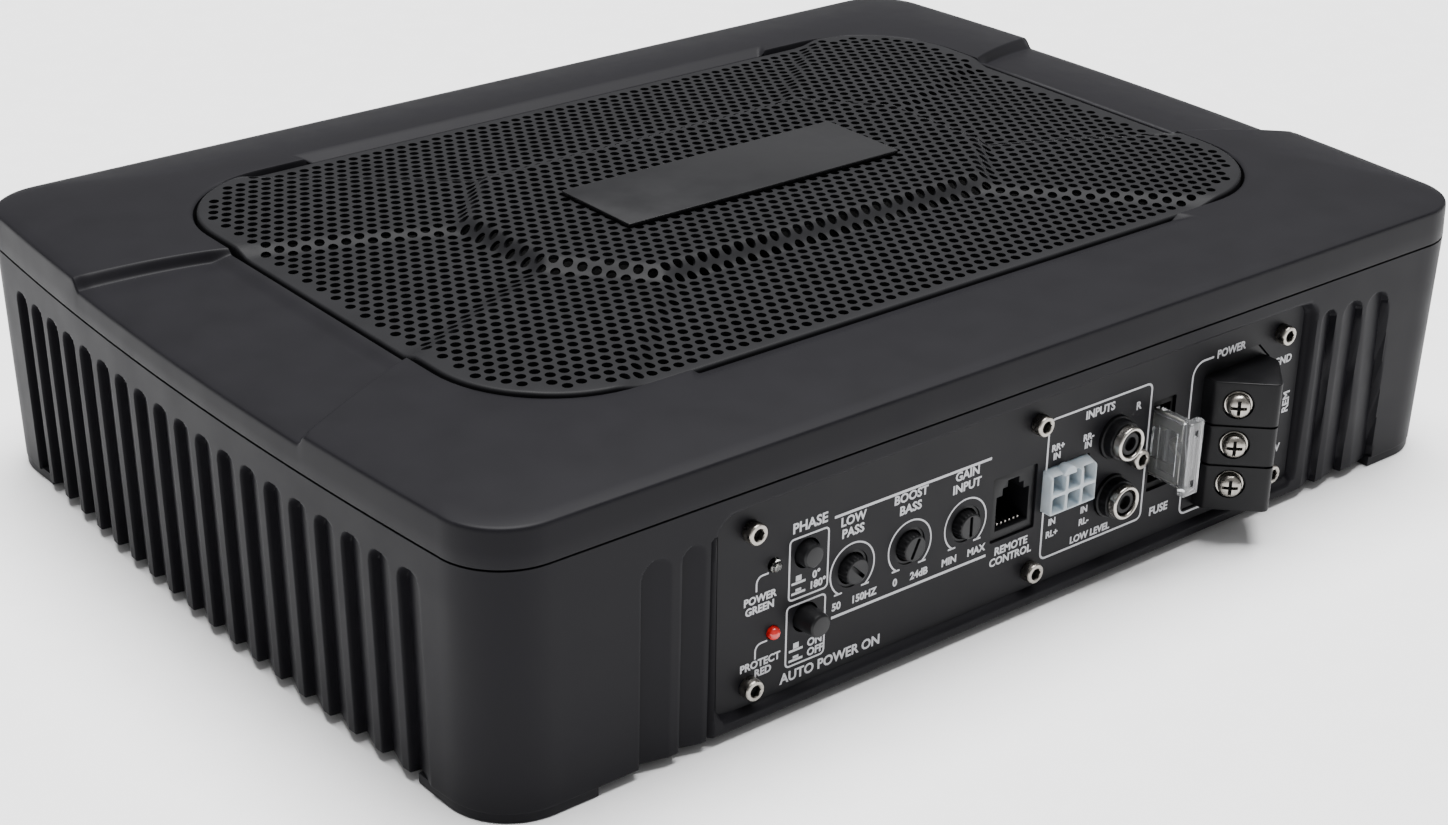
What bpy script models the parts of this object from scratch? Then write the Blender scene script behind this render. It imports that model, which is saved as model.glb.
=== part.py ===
"""Powered under-seat car subwoofer: a shallow fluted tub, a top cover with a steel grille, a 6.5 inch
woofer with its amplifier inside, and a control panel with its switches, knobs, sockets, fuse and
terminals on the front (-Y) side. Z = 0 is the surface that the corner feet stand on."""

import math

import bmesh
import bpy
from mathutils import Matrix, Vector

MM = 0.001

# Driving dimensions, in metres.
GAP = 0.3 * MM
BODY_HALF_X = 152.4 * MM
BODY_HALF_Y = 109.7 * MM
CORNER_RADIUS = 15.5 * MM
SIDE_BOW = 4.0 * MM
WALL = 3.0 * MM
DRAFT = math.radians(1.0)
FOOT_HEIGHT = 2.2 * MM
FOOT_LENGTH = 26.0 * MM
BOTTOM_EDGE = 0.4 * MM
FLOOR_TOP = 5.4 * MM
SEAM_Z = 58.0 * MM
COVER_EDGE_Z = 66.9 * MM
COVER_INNER_Z = 69.9 * MM
RIM_DROP = 2.5 * MM
CAVITY_FRONT_Y = -101.0 * MM
CAVITY_BACK_Y = 106.4 * MM

GRILLE_HALF_X = 117.5 * MM
GRILLE_HALF_Y = 77.2 * MM
GRILLE_CENTRE = (1.2 * MM, 1.4 * MM)
GRILLE_RADIUS = 30.0 * MM
GRILLE_EDGE_Z = 70.6 * MM
PLATEAU_Z = 73.5 * MM
GRILLE_THICKNESS = 1.2 * MM
NAME_PLATE_SIZE = (84.0 * MM, 27.0 * MM, 0.9 * MM)

SIDE_FLUTES = 19
FLUTE_PITCH = 9.4 * MM
FLUTE_WIDTH = 7.4 * MM
FLUTE_DEPTH = 2.4 * MM
FLUTE_TOP_Z = 51.4 * MM
END_GROOVE_DEPTH = 1.7 * MM
# Each groove on the front wall: the x of its deep edge, its width, and how far it leans.
FRONT_GROOVES = (
    (-111.0 * MM, 7.5 * MM, 0.0),
    (-101.0 * MM, 6.0 * MM, 0.0),
    (-93.6 * MM, 1.9 * MM, 0.0),
    (99.6 * MM, 5.5 * MM, 1.0),
    (109.6 * MM, 7.5 * MM, 1.0),
    (120.5 * MM, 8.5 * MM, 4.0),
)

PANEL_Y = -106.9 * MM
PANEL_THICKNESS = 2.0 * MM
PANEL_HALF_X = 90.0 * MM
PANEL_Z = (4.4 * MM, 52.9 * MM)
PANEL_RADIUS = 3.0 * MM
BEHIND_PANEL_Y = PANEL_Y + PANEL_THICKNESS + GAP
CONTROL_BOARD_Y = -94.0 * MM
MODULE_BACK_Y = CONTROL_BOARD_Y - GAP

PANEL_SCREWS = {
    "panel_screw_top_left": (-81.4 * MM, 47.2 * MM),
    "panel_screw_bottom_left": (-81.4 * MM, 10.2 * MM),
    "panel_screw_top_middle": (0.7 * MM, 47.2 * MM),
    "panel_screw_bottom_middle": (0.7 * MM, 10.2 * MM),
    "panel_screw_top_right": (82.2 * MM, 47.2 * MM),
    "panel_screw_bottom_right": (82.2 * MM, 10.2 * MM),
    "panel_screw_socket": (33.5 * MM, 29.1 * MM),
}
PHASE_BUTTON = (-66.0 * MM, 36.9 * MM)
AUTO_BUTTON = (-66.0 * MM, 21.5 * MM)
BUTTON_RADIUS = 3.0 * MM
BUTTON_IN = 2.6 * MM
BUTTON_OUT = 5.4 * MM
POTS = {
    "low_pass": (-53.2 * MM, 28.8 * MM, math.radians(-45)),
    "bass_boost": (-36.7 * MM, 28.8 * MM, math.radians(25)),
    "gain": (-20.2 * MM, 28.8 * MM, 0.0),
}
KNOB_RADIUS = 3.4 * MM
KNOB_PROUD = 2.0 * MM
KNOB_HOLE_RADIUS = 4.3 * MM
LEDS = {"power_led": (-75.0 * MM, 37.1 * MM), "protect_led": (-75.0 * MM, 21.0 * MM)}
JACK_BOX = (-12.0 * MM, 1.3 * MM, 21.2 * MM, 37.0 * MM)
SOCKET_BOX = (3.5 * MM, 18.0 * MM, 24.0 * MM, 34.5 * MM)
RCA_X = 26.3 * MM
RCA_Z = {"rca_ring_right": 36.3 * MM, "rca_ring_left": 21.3 * MM}
RCA_COLLAR_RADIUS = 5.0 * MM
RCA_COLLAR_PROUD = 3.3 * MM
FUSE_CENTRE = (42.5 * MM, 29.7 * MM)
FUSE_SIZE = (5.1 * MM, 19.1 * MM)
FUSE_FRONT_Y = -117.1 * MM
FUSE_SLOT_BOX = (38.9 * MM, 46.1 * MM, 18.2 * MM, 41.2 * MM)
TERMINAL_BOX = (52.3 * MM, 78.7 * MM, 8.7 * MM, 46.3 * MM)
TERMINAL_APEX_Y = -120.4 * MM
TERMINALS = {"ground": 37.3 * MM, "remote": 26.9 * MM, "battery": 16.5 * MM}
TERMINAL_Z = (9.4 * MM, 43.0 * MM)

# The bounding box is centred on the origin in Y, although the terminals stand out of the front.
CENTRE_SHIFT_Y = -(BODY_HALF_Y + TERMINAL_APEX_Y) / 2

WOOFER_STEPS = 32


def fresh_scene():
    for obj in list(bpy.data.objects):
        bpy.data.objects.remove(obj)


def new_collection(name, hidden=False):
    collection = bpy.data.collections.new(name)
    collection.hide_render = hidden
    bpy.context.scene.collection.children.link(collection)
    return collection


fresh_scene()
PARTS = new_collection("powered_car_subwoofer")
CUTTERS = new_collection("cutters", hidden=True)
ROOT = bpy.data.objects.new("subwoofer_origin", None)
ROOT.location = (0, CENTRE_SHIFT_Y, 0)
PARTS.objects.link(ROOT)


def material(name, color, roughness, metallic=0.0):
    found = bpy.data.materials.get(name)
    if found:
        return found
    made = bpy.data.materials.new(name)
    made.use_nodes = True
    shader = made.node_tree.nodes["Principled BSDF"]
    shader.inputs["Base Color"].default_value = (*color, 1)
    shader.inputs["Roughness"].default_value = roughness
    shader.inputs["Metallic"].default_value = metallic
    return made


BLACK_PLASTIC = ("satin_black_plastic", (0.020, 0.020, 0.022), 0.45)
DARK_PLASTIC = ("dark_moulding", (0.012, 0.012, 0.013), 0.5)
PANEL_BLACK = ("black_panel_coat", (0.016, 0.016, 0.018), 0.38, 0.3)
MESH_BLACK = ("powder_coated_steel", (0.015, 0.015, 0.016), 0.5, 0.4)
NICKEL = ("nickel", (0.72, 0.68, 0.62), 0.25, 1.0)
NYLON = ("milky_nylon", (0.80, 0.86, 0.90), 0.4)
CLEAR = ("clear_fuse_plastic", (0.82, 0.84, 0.84), 0.1)
RED_LENS = ("red_lens", (0.60, 0.01, 0.01), 0.15)
CLEAR_LENS = ("clear_lens", (0.75, 0.78, 0.72), 0.1)
BOARD_GREEN = ("circuit_board", (0.02, 0.16, 0.06), 0.4)
ALUMINIUM = ("aluminium", (0.60, 0.61, 0.62), 0.35, 1.0)
COPPER = ("enamelled_copper", (0.60, 0.25, 0.09), 0.35, 1.0)
FERRITE = ("ferrite", (0.055, 0.055, 0.060), 0.6)
ZINC_STEEL = ("zinc_steel", (0.55, 0.54, 0.50), 0.35, 1.0)
PAPER_CONE = ("pressed_cone", (0.025, 0.024, 0.023), 0.8)
RUBBER = ("rubber", (0.015, 0.015, 0.015), 0.6)
CLOTH = ("resin_cloth", (0.55, 0.38, 0.14), 0.85)
FIBREBOARD = ("fibreboard", (0.22, 0.15, 0.09), 0.8)


def finish(obj, look, parent=ROOT):
    obj.data.materials.clear()
    obj.data.materials.append(material(*look))
    PARTS.objects.link(obj)
    obj.parent = parent
    return obj


def as_cutter(obj, parent=ROOT):
    CUTTERS.objects.link(obj)
    obj.hide_render = True
    obj.display_type = "WIRE"
    obj.parent = parent
    return obj


def object_from(name, mesh_builder):
    """An object whose mesh is what mesh_builder makes in a bmesh, with its faces pointing out."""
    mesh = bpy.data.meshes.new(name)
    bm = bmesh.new()
    mesh_builder(bm)
    bmesh.ops.recalc_face_normals(bm, faces=bm.faces)
    bm.to_mesh(mesh)
    bm.free()
    return bpy.data.objects.new(name, mesh)


def smooth(obj, degrees=35):
    obj.data.shade_smooth()
    obj.data.set_sharp_from_angle(angle=math.radians(degrees))
    return obj


def combine(obj, other, operation):
    modifier = obj.modifiers.new(f"{operation.lower()} {other.name}", "BOOLEAN")
    modifier.operation = operation
    modifier.object = other
    modifier.solver = "EXACT"


def cut(obj, *others):
    for other in others:
        combine(obj, other, "DIFFERENCE")


def join(obj, *others):
    for other in others:
        combine(obj, other, "UNION")


def bevel(obj, width, segments=2, degrees=40):
    modifier = obj.modifiers.new("edges", "BEVEL")
    modifier.width = width
    modifier.segments = segments
    modifier.limit_method = "ANGLE"
    modifier.angle_limit = math.radians(degrees)


def box(name, x, y, z):
    """A box from its low and high limits on each axis."""

    def build(bm):
        bmesh.ops.create_cube(bm, size=1)
        size = Vector((x[1] - x[0], y[1] - y[0], z[1] - z[0]))
        bmesh.ops.scale(bm, vec=size, verts=bm.verts)

    obj = object_from(name, build)
    obj.location = ((x[0] + x[1]) / 2, (y[0] + y[1]) / 2, (z[0] + z[1]) / 2)
    return obj


def rod(name, centre, y, radius, steps=24):
    """A cylinder along Y at centre (x, z), between the two y limits."""

    def build(bm):
        bmesh.ops.create_cone(
            bm, cap_ends=True, segments=steps, radius1=radius, radius2=radius, depth=y[1] - y[0]
        )

    obj = object_from(name, build)
    obj.rotation_euler = (math.radians(90), 0, 0)
    obj.location = (centre[0], (y[0] + y[1]) / 2, centre[1])
    return obj


def prism(name, points, depth):
    """An outline in the object's XY plane, extruded up its Z by depth."""

    def build(bm):
        face = bm.faces.new([bm.verts.new((x, y, 0)) for x, y in points])
        grown = bmesh.ops.extrude_face_region(bm, geom=[face])["geom"]
        moved = [item for item in grown if isinstance(item, bmesh.types.BMVert)]
        bmesh.ops.translate(bm, vec=(0, 0, depth), verts=moved)

    return object_from(name, build)


def panel_prism(name, points, y):
    """An outline in (x, z), standing between the two y limits."""
    obj = prism(name, points, y[1] - y[0])
    obj.rotation_euler = (math.radians(90), 0, 0)
    obj.location = (0, y[1], 0)
    return obj


def loft(name, rings, capped=True):
    """Rings of equal length joined in turn: closed by end caps, or into a tunnel if not capped."""

    def build(bm):
        made = [[bm.verts.new(point) for point in ring] for ring in rings]
        pairs = list(zip(made, made[1:]))
        if not capped:
            pairs.append((made[-1], made[0]))
        for low, high in pairs:
            for here in range(len(low)):
                after = (here + 1) % len(low)
                bm.faces.new((low[here], low[after], high[after], high[here]))
        if capped:
            bm.faces.new(made[0])
            bm.faces.new(made[-1])

    return object_from(name, build)


def turned(name, profile, steps=WOOFER_STEPS, closed=True):
    """A profile of (radius, z) points turned about Z. A closed one is a ring, an open one ends on the axis."""
    mesh = bpy.data.meshes.new(name)
    edges = [(i, i + 1) for i in range(len(profile) - 1)]
    if closed:
        edges.append((len(profile) - 1, 0))
    mesh.from_pydata([(r, 0, z) for r, z in profile], edges, [])
    obj = bpy.data.objects.new(name, mesh)
    screw = obj.modifiers.new("turn", "SCREW")
    screw.steps = steps
    screw.render_steps = steps
    screw.use_merge_vertices = True
    screw.merge_threshold = 0.00001
    screw.use_smooth_shade = True
    return obj


def arc(centre, radius, start, end, steps):
    """Points on an arc, in degrees, both ends included."""
    angles = [math.radians(start + (end - start) * i / steps) for i in range(steps + 1)]
    return [(centre[0] + radius * math.cos(a), centre[1] + radius * math.sin(a)) for a in angles]


def rounded_rectangle(low_x, high_x, low_z, high_z, radius, steps=4):
    points = []
    corners = (
        (high_x - radius, low_z + radius, -90),
        (high_x - radius, high_z - radius, 0),
        (low_x + radius, high_z - radius, 90),
        (low_x + radius, low_z + radius, 180),
    )
    for x, z, start in corners:
        points += arc((x, z), radius, start, start + 90, steps)
    return points


OUTER_YS = [v * MM for v in (-88, -68, -50, -46.5, -23, 0, 23, 46.5, 50, 68, 88)]
INNER_YS = [v * MM for v in (-45, -44, -43, -39, -20, 0, 20, 39, 43, 44, 45)]
OUTER_XS = [v * MM for v in (-120, -60, 0, 60, 120)]
INNER_XS = [v * MM for v in (-84, -42, 0, 42, 84)]
CORNER_STEPS = 6


def outline(half_x, half_y, radius, bow=0.0, xs=OUTER_XS, ys=OUTER_YS):
    """A rounded rectangle as (x, y) points, its left and right sides bowed out at their middle."""
    x, y = half_x - bow - radius, half_y - radius
    side = [(half_x - bow * (v / y) ** 2, v) for v in ys]
    points = list(side)
    points += arc((x, y), radius, 0, 90, CORNER_STEPS)
    points += [(v, half_y) for v in reversed(xs)]
    points += arc((-x, y), radius, 90, 180, CORNER_STEPS)
    points += [(-a, b) for a, b in reversed(side)]
    points += arc((-x, -y), radius, 180, 270, CORNER_STEPS)
    points += [(v, -half_y) for v in xs]
    points += arc((x, -y), radius, 270, 360, CORNER_STEPS)
    return points


def at_height(points, z):
    return [(x, y, z) for x, y in points]


def round_grille(points):
    """The points moved from the origin to the grille's centre."""
    return [(x + GRILLE_CENTRE[0], y + GRILLE_CENTRE[1]) for x, y in points]


def body_outline(inset, z):
    """The tub's outer outline at height z: it draws in towards the bottom by the draft."""
    inward = inset + max(0.0, SEAM_Z - z) * math.tan(DRAFT)
    return outline(BODY_HALF_X - inward, BODY_HALF_Y - inward, CORNER_RADIUS - inset / 2, SIDE_BOW)


def flute_cutters(name, places, depth, top_z):
    """One mesh of wedge-shaped slots with round tops. Each place is (matrix, side, width): the slot
    is deepest at its +Y edge when side is 1, at its -Y edge when side is -1, and cuts along -X."""

    def build(bm):
        for matrix, side, width in places:
            across = [(-width / 2, -10 * MM), (width / 2, -10 * MM)]
            across += arc((0, top_z - width / 2), width / 2, 0, 180, 5)
            outer = [bm.verts.new(matrix @ Vector((3 * MM, s * side, z))) for s, z in across]
            inner = []
            for s, z in across:
                share = (s + width / 2) / width
                inner.append(bm.verts.new(matrix @ Vector((-depth * share - 0.02 * MM, s * side, z))))
            for here in range(len(across)):
                after = (here + 1) % len(across)
                bm.faces.new((outer[here], outer[after], inner[after], inner[here]))
            bm.faces.new(outer)
            bm.faces.new(inner)

    return as_cutter(object_from(name, build))


def side_places(direction):
    """Where the flutes of the right (1) or left (-1) side go: on the bowed, drafted wall."""
    reach = BODY_HALF_Y - CORNER_RADIUS
    places = []
    for index in range(SIDE_FLUTES):
        y = (index - (SIDE_FLUTES - 1) / 2) * FLUTE_PITCH
        x = BODY_HALF_X - SIDE_BOW * (y / reach) ** 2 - SEAM_Z * math.tan(DRAFT)
        turn = math.atan(2 * SIDE_BOW * y / reach**2)
        place = Matrix.Translation((direction * x, y, 0))
        place @= Matrix.Rotation(direction * turn + (math.pi if direction < 0 else 0), 4, "Z")
        place @= Matrix.Rotation(DRAFT, 4, "Y")
        places.append((place, direction, FLUTE_WIDTH))
    return places


def end_places(direction):
    """Where the grooves either side of the panel go, on the front (-1) or, turned half round, the
    back (1) wall. Each slopes out towards the middle from its deep edge."""
    places = []
    y = BODY_HALF_Y - SEAM_Z * math.tan(DRAFT)
    for edge, width, lean in FRONT_GROOVES:
        half = math.copysign(1, edge)
        x = -direction * (edge - half * width / 2)
        place = Matrix.Translation((x, direction * y, 0))
        place @= Matrix.Rotation(direction * math.pi / 2, 4, "Z")
        place @= Matrix.Rotation(DRAFT, 4, "Y")
        place @= Matrix.Translation((0, 0, 28 * MM)) @ Matrix.Rotation(math.radians(lean), 4, "X")
        place @= Matrix.Translation((0, 0, -28 * MM))
        places.append((place, half, width))
    return places


def lower_housing():
    """The tub: fluted outside, open at the top, thick behind the panel, with four corner posts."""
    inner = outline(
        BODY_HALF_X - WALL,
        (CAVITY_BACK_Y - CAVITY_FRONT_Y) / 2,
        CORNER_RADIUS - WALL / 2,
        SIDE_BOW,
    )
    middle = (CAVITY_BACK_Y + CAVITY_FRONT_Y) / 2
    cavity = [(x, y + middle) for x, y in inner]
    narrow = [(x * 0.985, y) for x, y in cavity]
    low = FOOT_HEIGHT
    rings = [
        at_height(body_outline(BOTTOM_EDGE, low), low),
        at_height(body_outline(0.0, low + BOTTOM_EDGE), low + BOTTOM_EDGE),
        at_height(body_outline(0.0, SEAM_Z), SEAM_Z),
        at_height(cavity, SEAM_Z),
        at_height(narrow, FLOOR_TOP),
    ]
    tub = finish(loft("lower_housing", rings), BLACK_PLASTIC)
    for index, (x, y) in enumerate(((-1, -1), (1, -1), (-1, 1), (1, 1))):
        post = prism(f"corner_post_{index}", arc((0, 0), 5 * MM, 0, 337.5, 15), 46.0 * MM)
        post.location = (x * 138 * MM, y * 93 * MM + 2 * MM, FLOOR_TOP - 1 * MM)
        join(tub, as_cutter(post))
    for index, (x, y) in enumerate(((-1, -1), (1, -1), (-1, 1), (1, 1))):
        foot = foot_block(f"corner_foot_{index}", x, y)
        join(tub, foot)
    cut(
        tub,
        flute_cutters("right_flutes", side_places(1), FLUTE_DEPTH, FLUTE_TOP_Z),
        flute_cutters("left_flutes", side_places(-1), FLUTE_DEPTH, FLUTE_TOP_Z),
        flute_cutters("front_grooves", end_places(-1), END_GROOVE_DEPTH, FLUTE_TOP_Z - 1 * MM),
        flute_cutters("back_grooves", end_places(1), END_GROOVE_DEPTH, FLUTE_TOP_Z - 1 * MM),
        panel_recess(),
        panel_window(),
    )
    for name, (x, z) in PANEL_SCREWS.items():
        if name != "panel_screw_socket":
            hole = rod(f"{name}_tapping", (x, z), (-110 * MM, -98 * MM), 1.8 * MM, 12)
            cut(tub, as_cutter(hole))
    return tub


def foot_block(name, side_x, side_y):
    """A corner foot: it carries the tub's corner down to the floor, flush with the walls."""
    inward = SEAM_Z * math.tan(DRAFT) + 0.1 * MM
    far_x = BODY_HALF_X - SIDE_BOW - inward
    far_y = BODY_HALF_Y - inward
    near_x, near_y = far_x - FOOT_LENGTH, far_y - FOOT_LENGTH
    radius = CORNER_RADIUS
    points = [(near_x, near_y), (far_x, near_y)]
    points += arc((far_x - radius, far_y - radius), radius, 0, 90, CORNER_STEPS)
    points.append((near_x, far_y))
    block = prism(name, [(side_x * x, side_y * y) for x, y in points], FOOT_HEIGHT + 1 * MM)
    return as_cutter(block)


def panel_recess():
    """The hollow that the panel lies in. Its walls flare out to the front face."""
    rings = []
    for y, grow in ((-104.6, 0.3), (-106.9, 0.3), (-111.5, 2.6)):
        low_x, high_x = -PANEL_HALF_X - grow * MM, PANEL_HALF_X + grow * MM
        points = rounded_rectangle(
            low_x, high_x, PANEL_Z[0] - min(grow, 0.5) * MM, PANEL_Z[1] + min(grow, 1.0) * MM,
            PANEL_RADIUS + grow * MM, 4)
        rings.append([(x, y * MM, z) for x, z in points])
    return as_cutter(loft("panel_recess", rings))


def panel_window():
    """The opening behind the panel for its controls, with a deeper part for the terminal block."""
    points = [
        (-78.3, 14), (38, 14), (38, 7.2), (79.4, 7.2), (79.4, 43.2), (79.4, 47.0),
        (50, 47.0), (50, 43.6), (-78.3, 43.6),
    ]
    return as_cutter(
        panel_prism("panel_window", [(x * MM, z * MM) for x, z in points], (-106 * MM, -99 * MM))
    )


def cover_ring(points, z_of):
    return [(x, y, z_of(x, y)) for x, y in points]


def top_cover():
    """The frame round the grille. Its left and right rims step down between |y| of 46 and 50 mm, and
    a narrow ramp brings them back up to the grille's edge."""
    outer_low = outline(BODY_HALF_X, BODY_HALF_Y, CORNER_RADIUS, SIDE_BOW)

    def inset(distance):
        return outline(
            BODY_HALF_X - distance, BODY_HALF_Y - distance, CORNER_RADIUS - distance / 2, SIDE_BOW)

    def rim_height(level):
        def z_of(x, y):
            lowered = abs(x) > 100 * MM and abs(y) < 47 * MM
            return level - (RIM_DROP if lowered else 0.0)

        return z_of

    def flat(level):
        return lambda x, y: level

    ridge = round_grille(outline(123.5 * MM, 83.2 * MM, 32 * MM, 0.0, INNER_XS, INNER_YS))
    opening = round_grille(outline(
        GRILLE_HALF_X + 0.9 * MM, GRILLE_HALF_Y + 0.9 * MM, GRILLE_RADIUS + 0.9 * MM, 0.0, INNER_XS,
        INNER_YS))
    rings = [
        cover_ring(outer_low, flat(SEAM_Z + GAP)),
        cover_ring(inset(0.3 * MM), rim_height(COVER_EDGE_Z - 0.9 * MM)),
        cover_ring(inset(0.7 * MM), rim_height(COVER_EDGE_Z - 0.3 * MM)),
        cover_ring(inset(1.6 * MM), rim_height(COVER_EDGE_Z)),
        cover_ring(ridge, rim_height(COVER_INNER_Z - 0.4 * MM)),
        cover_ring(opening, flat(COVER_INNER_Z)),
        cover_ring(opening, flat(COVER_INNER_Z - 5.0 * MM)),
        cover_ring(ridge, flat(COVER_INNER_Z - 5.4 * MM)),
        cover_ring(inset(3.2 * MM), flat(COVER_EDGE_Z - 5.6 * MM)),
        cover_ring(inset(3.2 * MM), flat(SEAM_Z + GAP)),
    ]
    return smooth(finish(loft("top_cover", rings, capped=False), BLACK_PLASTIC), 25)


def grille():
    """The pressed steel grille as a plain shell: a turned-down edge and a raised middle."""

    def level(inset, z, radius=None):
        points = outline(
            GRILLE_HALF_X - inset * MM, GRILLE_HALF_Y - inset * MM,
            radius or max(GRILLE_RADIUS - inset * MM, 4 * MM), 0.0, INNER_XS, INNER_YS)
        return at_height(round_grille(points), z)

    def middle(half_x, half_y, z):
        xs = [v * (half_x - 22 * MM) / (84 * MM) for v in INNER_XS]
        ys = [v * (half_y - 22 * MM) / (45 * MM) for v in INNER_YS]
        return at_height(outline(half_x, half_y, 21 * MM, 0.0, xs, ys), z)

    t = GRILLE_THICKNESS
    rings = [
        level(0, GRILLE_EDGE_Z - 6 * MM),
        level(0, GRILLE_EDGE_Z - 0.8 * MM),
        level(1.2, GRILLE_EDGE_Z + 0.3 * MM),
        middle(71 * MM, 37 * MM, GRILLE_EDGE_Z + 1.1 * MM),
        middle(67 * MM, 34 * MM, PLATEAU_Z),
        middle(66 * MM, 33 * MM, PLATEAU_Z - t),
        middle(70 * MM, 36 * MM, GRILLE_EDGE_Z + 1.1 * MM - t),
        level(2.0, GRILLE_EDGE_Z + 0.3 * MM - t),
        level(1.2, GRILLE_EDGE_Z - 6 * MM),
    ]

    def build(bm):
        made = [[bm.verts.new(point) for point in ring] for ring in rings]
        pairs = list(zip(made[:5], made[1:5])) + list(zip(made[5:], made[6:]))
        pairs.append((made[-1], made[0]))
        for low, high in pairs:
            for here in range(len(low)):
                after = (here + 1) % len(low)
                bm.faces.new((low[here], low[after], high[after], high[here]))
        bm.faces.new(made[4])
        bm.faces.new(made[5])

    return finish(object_from("grille", build), MESH_BLACK)


def name_plate():
    """The blank badge on the middle of the grille."""
    length, width, thickness = NAME_PLATE_SIZE
    low = PLATEAU_Z + GAP
    plate = box(
        "name_plate", (-length / 2, length / 2), (-width / 2, width / 2), (low, low + thickness))
    bevel(plate, 0.2 * MM, 1)
    return finish(plate, PANEL_BLACK)


def control_panel():
    """The flat plate that carries the controls, with an opening for each."""
    points = rounded_rectangle(-PANEL_HALF_X, PANEL_HALF_X, *PANEL_Z, PANEL_RADIUS, 4)
    plate = finish(
        panel_prism("control_panel", points, (PANEL_Y, PANEL_Y + PANEL_THICKNESS)), PANEL_BLACK)
    through = (PANEL_Y - 2 * MM, PANEL_Y + 4 * MM)
    holes = [(place, 1.8 * MM, 12) for place in PANEL_SCREWS.values()]
    holes += [(place, 3.5 * MM, 20) for place in (PHASE_BUTTON, AUTO_BUTTON)]
    holes += [((x, z), KNOB_HOLE_RADIUS, 24) for x, z, _ in POTS.values()]
    holes += [(place, 1.85 * MM, 12) for place in LEDS.values()]
    holes += [((RCA_X, z), RCA_COLLAR_RADIUS + GAP, 24) for z in RCA_Z.values()]
    for index, (place, radius, steps) in enumerate(holes):
        cut(plate, as_cutter(rod(f"panel_hole_{index}", place, through, radius, steps)))
    windows = (JACK_BOX, SOCKET_BOX, FUSE_SLOT_BOX)
    for index, (low_x, high_x, low_z, high_z) in enumerate(windows):
        opening = box(
            f"panel_window_{index}", (low_x - GAP, high_x + GAP), through,
            (low_z - GAP, high_z + GAP))
        cut(plate, as_cutter(opening))
    cut(plate, as_cutter(panel_prism("terminal_window", terminal_outline(0.0), through)))
    return plate


def terminal_outline(inset):
    """The terminal block's opening in (x, z): its upper right corner is cut off beside the screw."""
    low_x, high_x, low_z, high_z = TERMINAL_BOX
    low_x, high_x, low_z, high_z = low_x + inset, high_x - inset, low_z + inset, high_z - inset
    clip = 4 * MM
    return [(low_x, low_z), (high_x, low_z), (high_x, high_z - clip), (high_x - clip, high_z),
            (low_x, high_z)]


def panel_screw(name, x, z):
    """A socket head cap screw, its head standing on the panel."""
    profile = [
        (0, 3.0), (2.2, 3.0), (2.45, 2.75), (2.45, 0), (1.45, 0), (1.45, -7.5), (1.1, -8), (0, -8)]
    screw = turned(name, [(r * MM, h * MM) for r, h in profile], 16, closed=False)
    screw.rotation_euler = (math.radians(90), 0, 0)
    screw.location = (x, PANEL_Y - GAP, z)
    socket = prism(f"{name}_socket", arc((0, 0), 1.45 * MM, 0, 300, 5), 4 * MM)
    socket.location = (0, 0, 1.2 * MM)
    cut(screw, as_cutter(socket, parent=screw))
    return finish(screw, NICKEL)


def push_button(name, place, proud):
    """A round button cap on its square plunger. Its origin is on its slide axis, at the panel."""
    profile = [(0, proud), (2.2 * MM, proud), (2.8 * MM, proud - 0.6 * MM), (BUTTON_RADIUS, proud - 1.6 * MM),
               (BUTTON_RADIUS, -1.4 * MM), (1.2 * MM, -1.4 * MM), (1.2 * MM, -6.5 * MM), (0, -6.5 * MM)]
    button = turned(name, profile, 20, closed=False)
    button.rotation_euler = (math.radians(90), 0, 0)
    button.location = (place[0], PANEL_Y, place[1])
    return finish(button, DARK_PLASTIC)


def switch_body(name, place):
    """The push switch behind a button, with a hole that its plunger runs in."""
    x, z = place
    body = box(
        name, (x - 4 * MM, x + 4 * MM), (PANEL_Y + 5.0 * MM, MODULE_BACK_Y), (z - 4 * MM, z + 4 * MM))
    bore = rod(f"{name}_bore", place, (PANEL_Y + 4 * MM, MODULE_BACK_Y - 2 * MM), 1.5 * MM, 12)
    cut(body, as_cutter(bore))
    return finish(body, DARK_PLASTIC)


def knob(name, x, z, angle):
    """A knurled trimmer knob with a screwdriver slot, on the potentiometer's spindle."""
    proud = KNOB_PROUD
    profile = [(0, proud), (3.2 * MM, proud), (KNOB_RADIUS, proud - 0.5 * MM),
               (KNOB_RADIUS, -1.5 * MM), (1.5 * MM, -1.5 * MM), (1.5 * MM, -6.5 * MM), (0, -6.5 * MM)]
    body = turned(name, profile, 24, closed=False)
    body.rotation_euler = (math.radians(90), angle, 0)
    body.location = (x, PANEL_Y, z)
    slot = box(f"{name}_slot", (-0.5 * MM, 0.5 * MM), (-2.4 * MM, 2.4 * MM), (proud - 1 * MM, proud + 1 * MM))
    cut(body, as_cutter(slot, parent=body))
    return finish(body, DARK_PLASTIC)


def potentiometer(name, x, z):
    """The square potentiometer behind a knob, with the spindle's bore."""
    body = box(
        name, (x - 5.5 * MM, x + 5.5 * MM), (PANEL_Y + 4.2 * MM, MODULE_BACK_Y),
        (z - 6 * MM, z + 6 * MM))
    bore = rod(f"{name}_bore", (x, z), (PANEL_Y + 4 * MM, PANEL_Y + 8 * MM), 1.8 * MM, 16)
    cut(body, as_cutter(bore))
    return finish(body, ZINC_STEEL)


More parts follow.
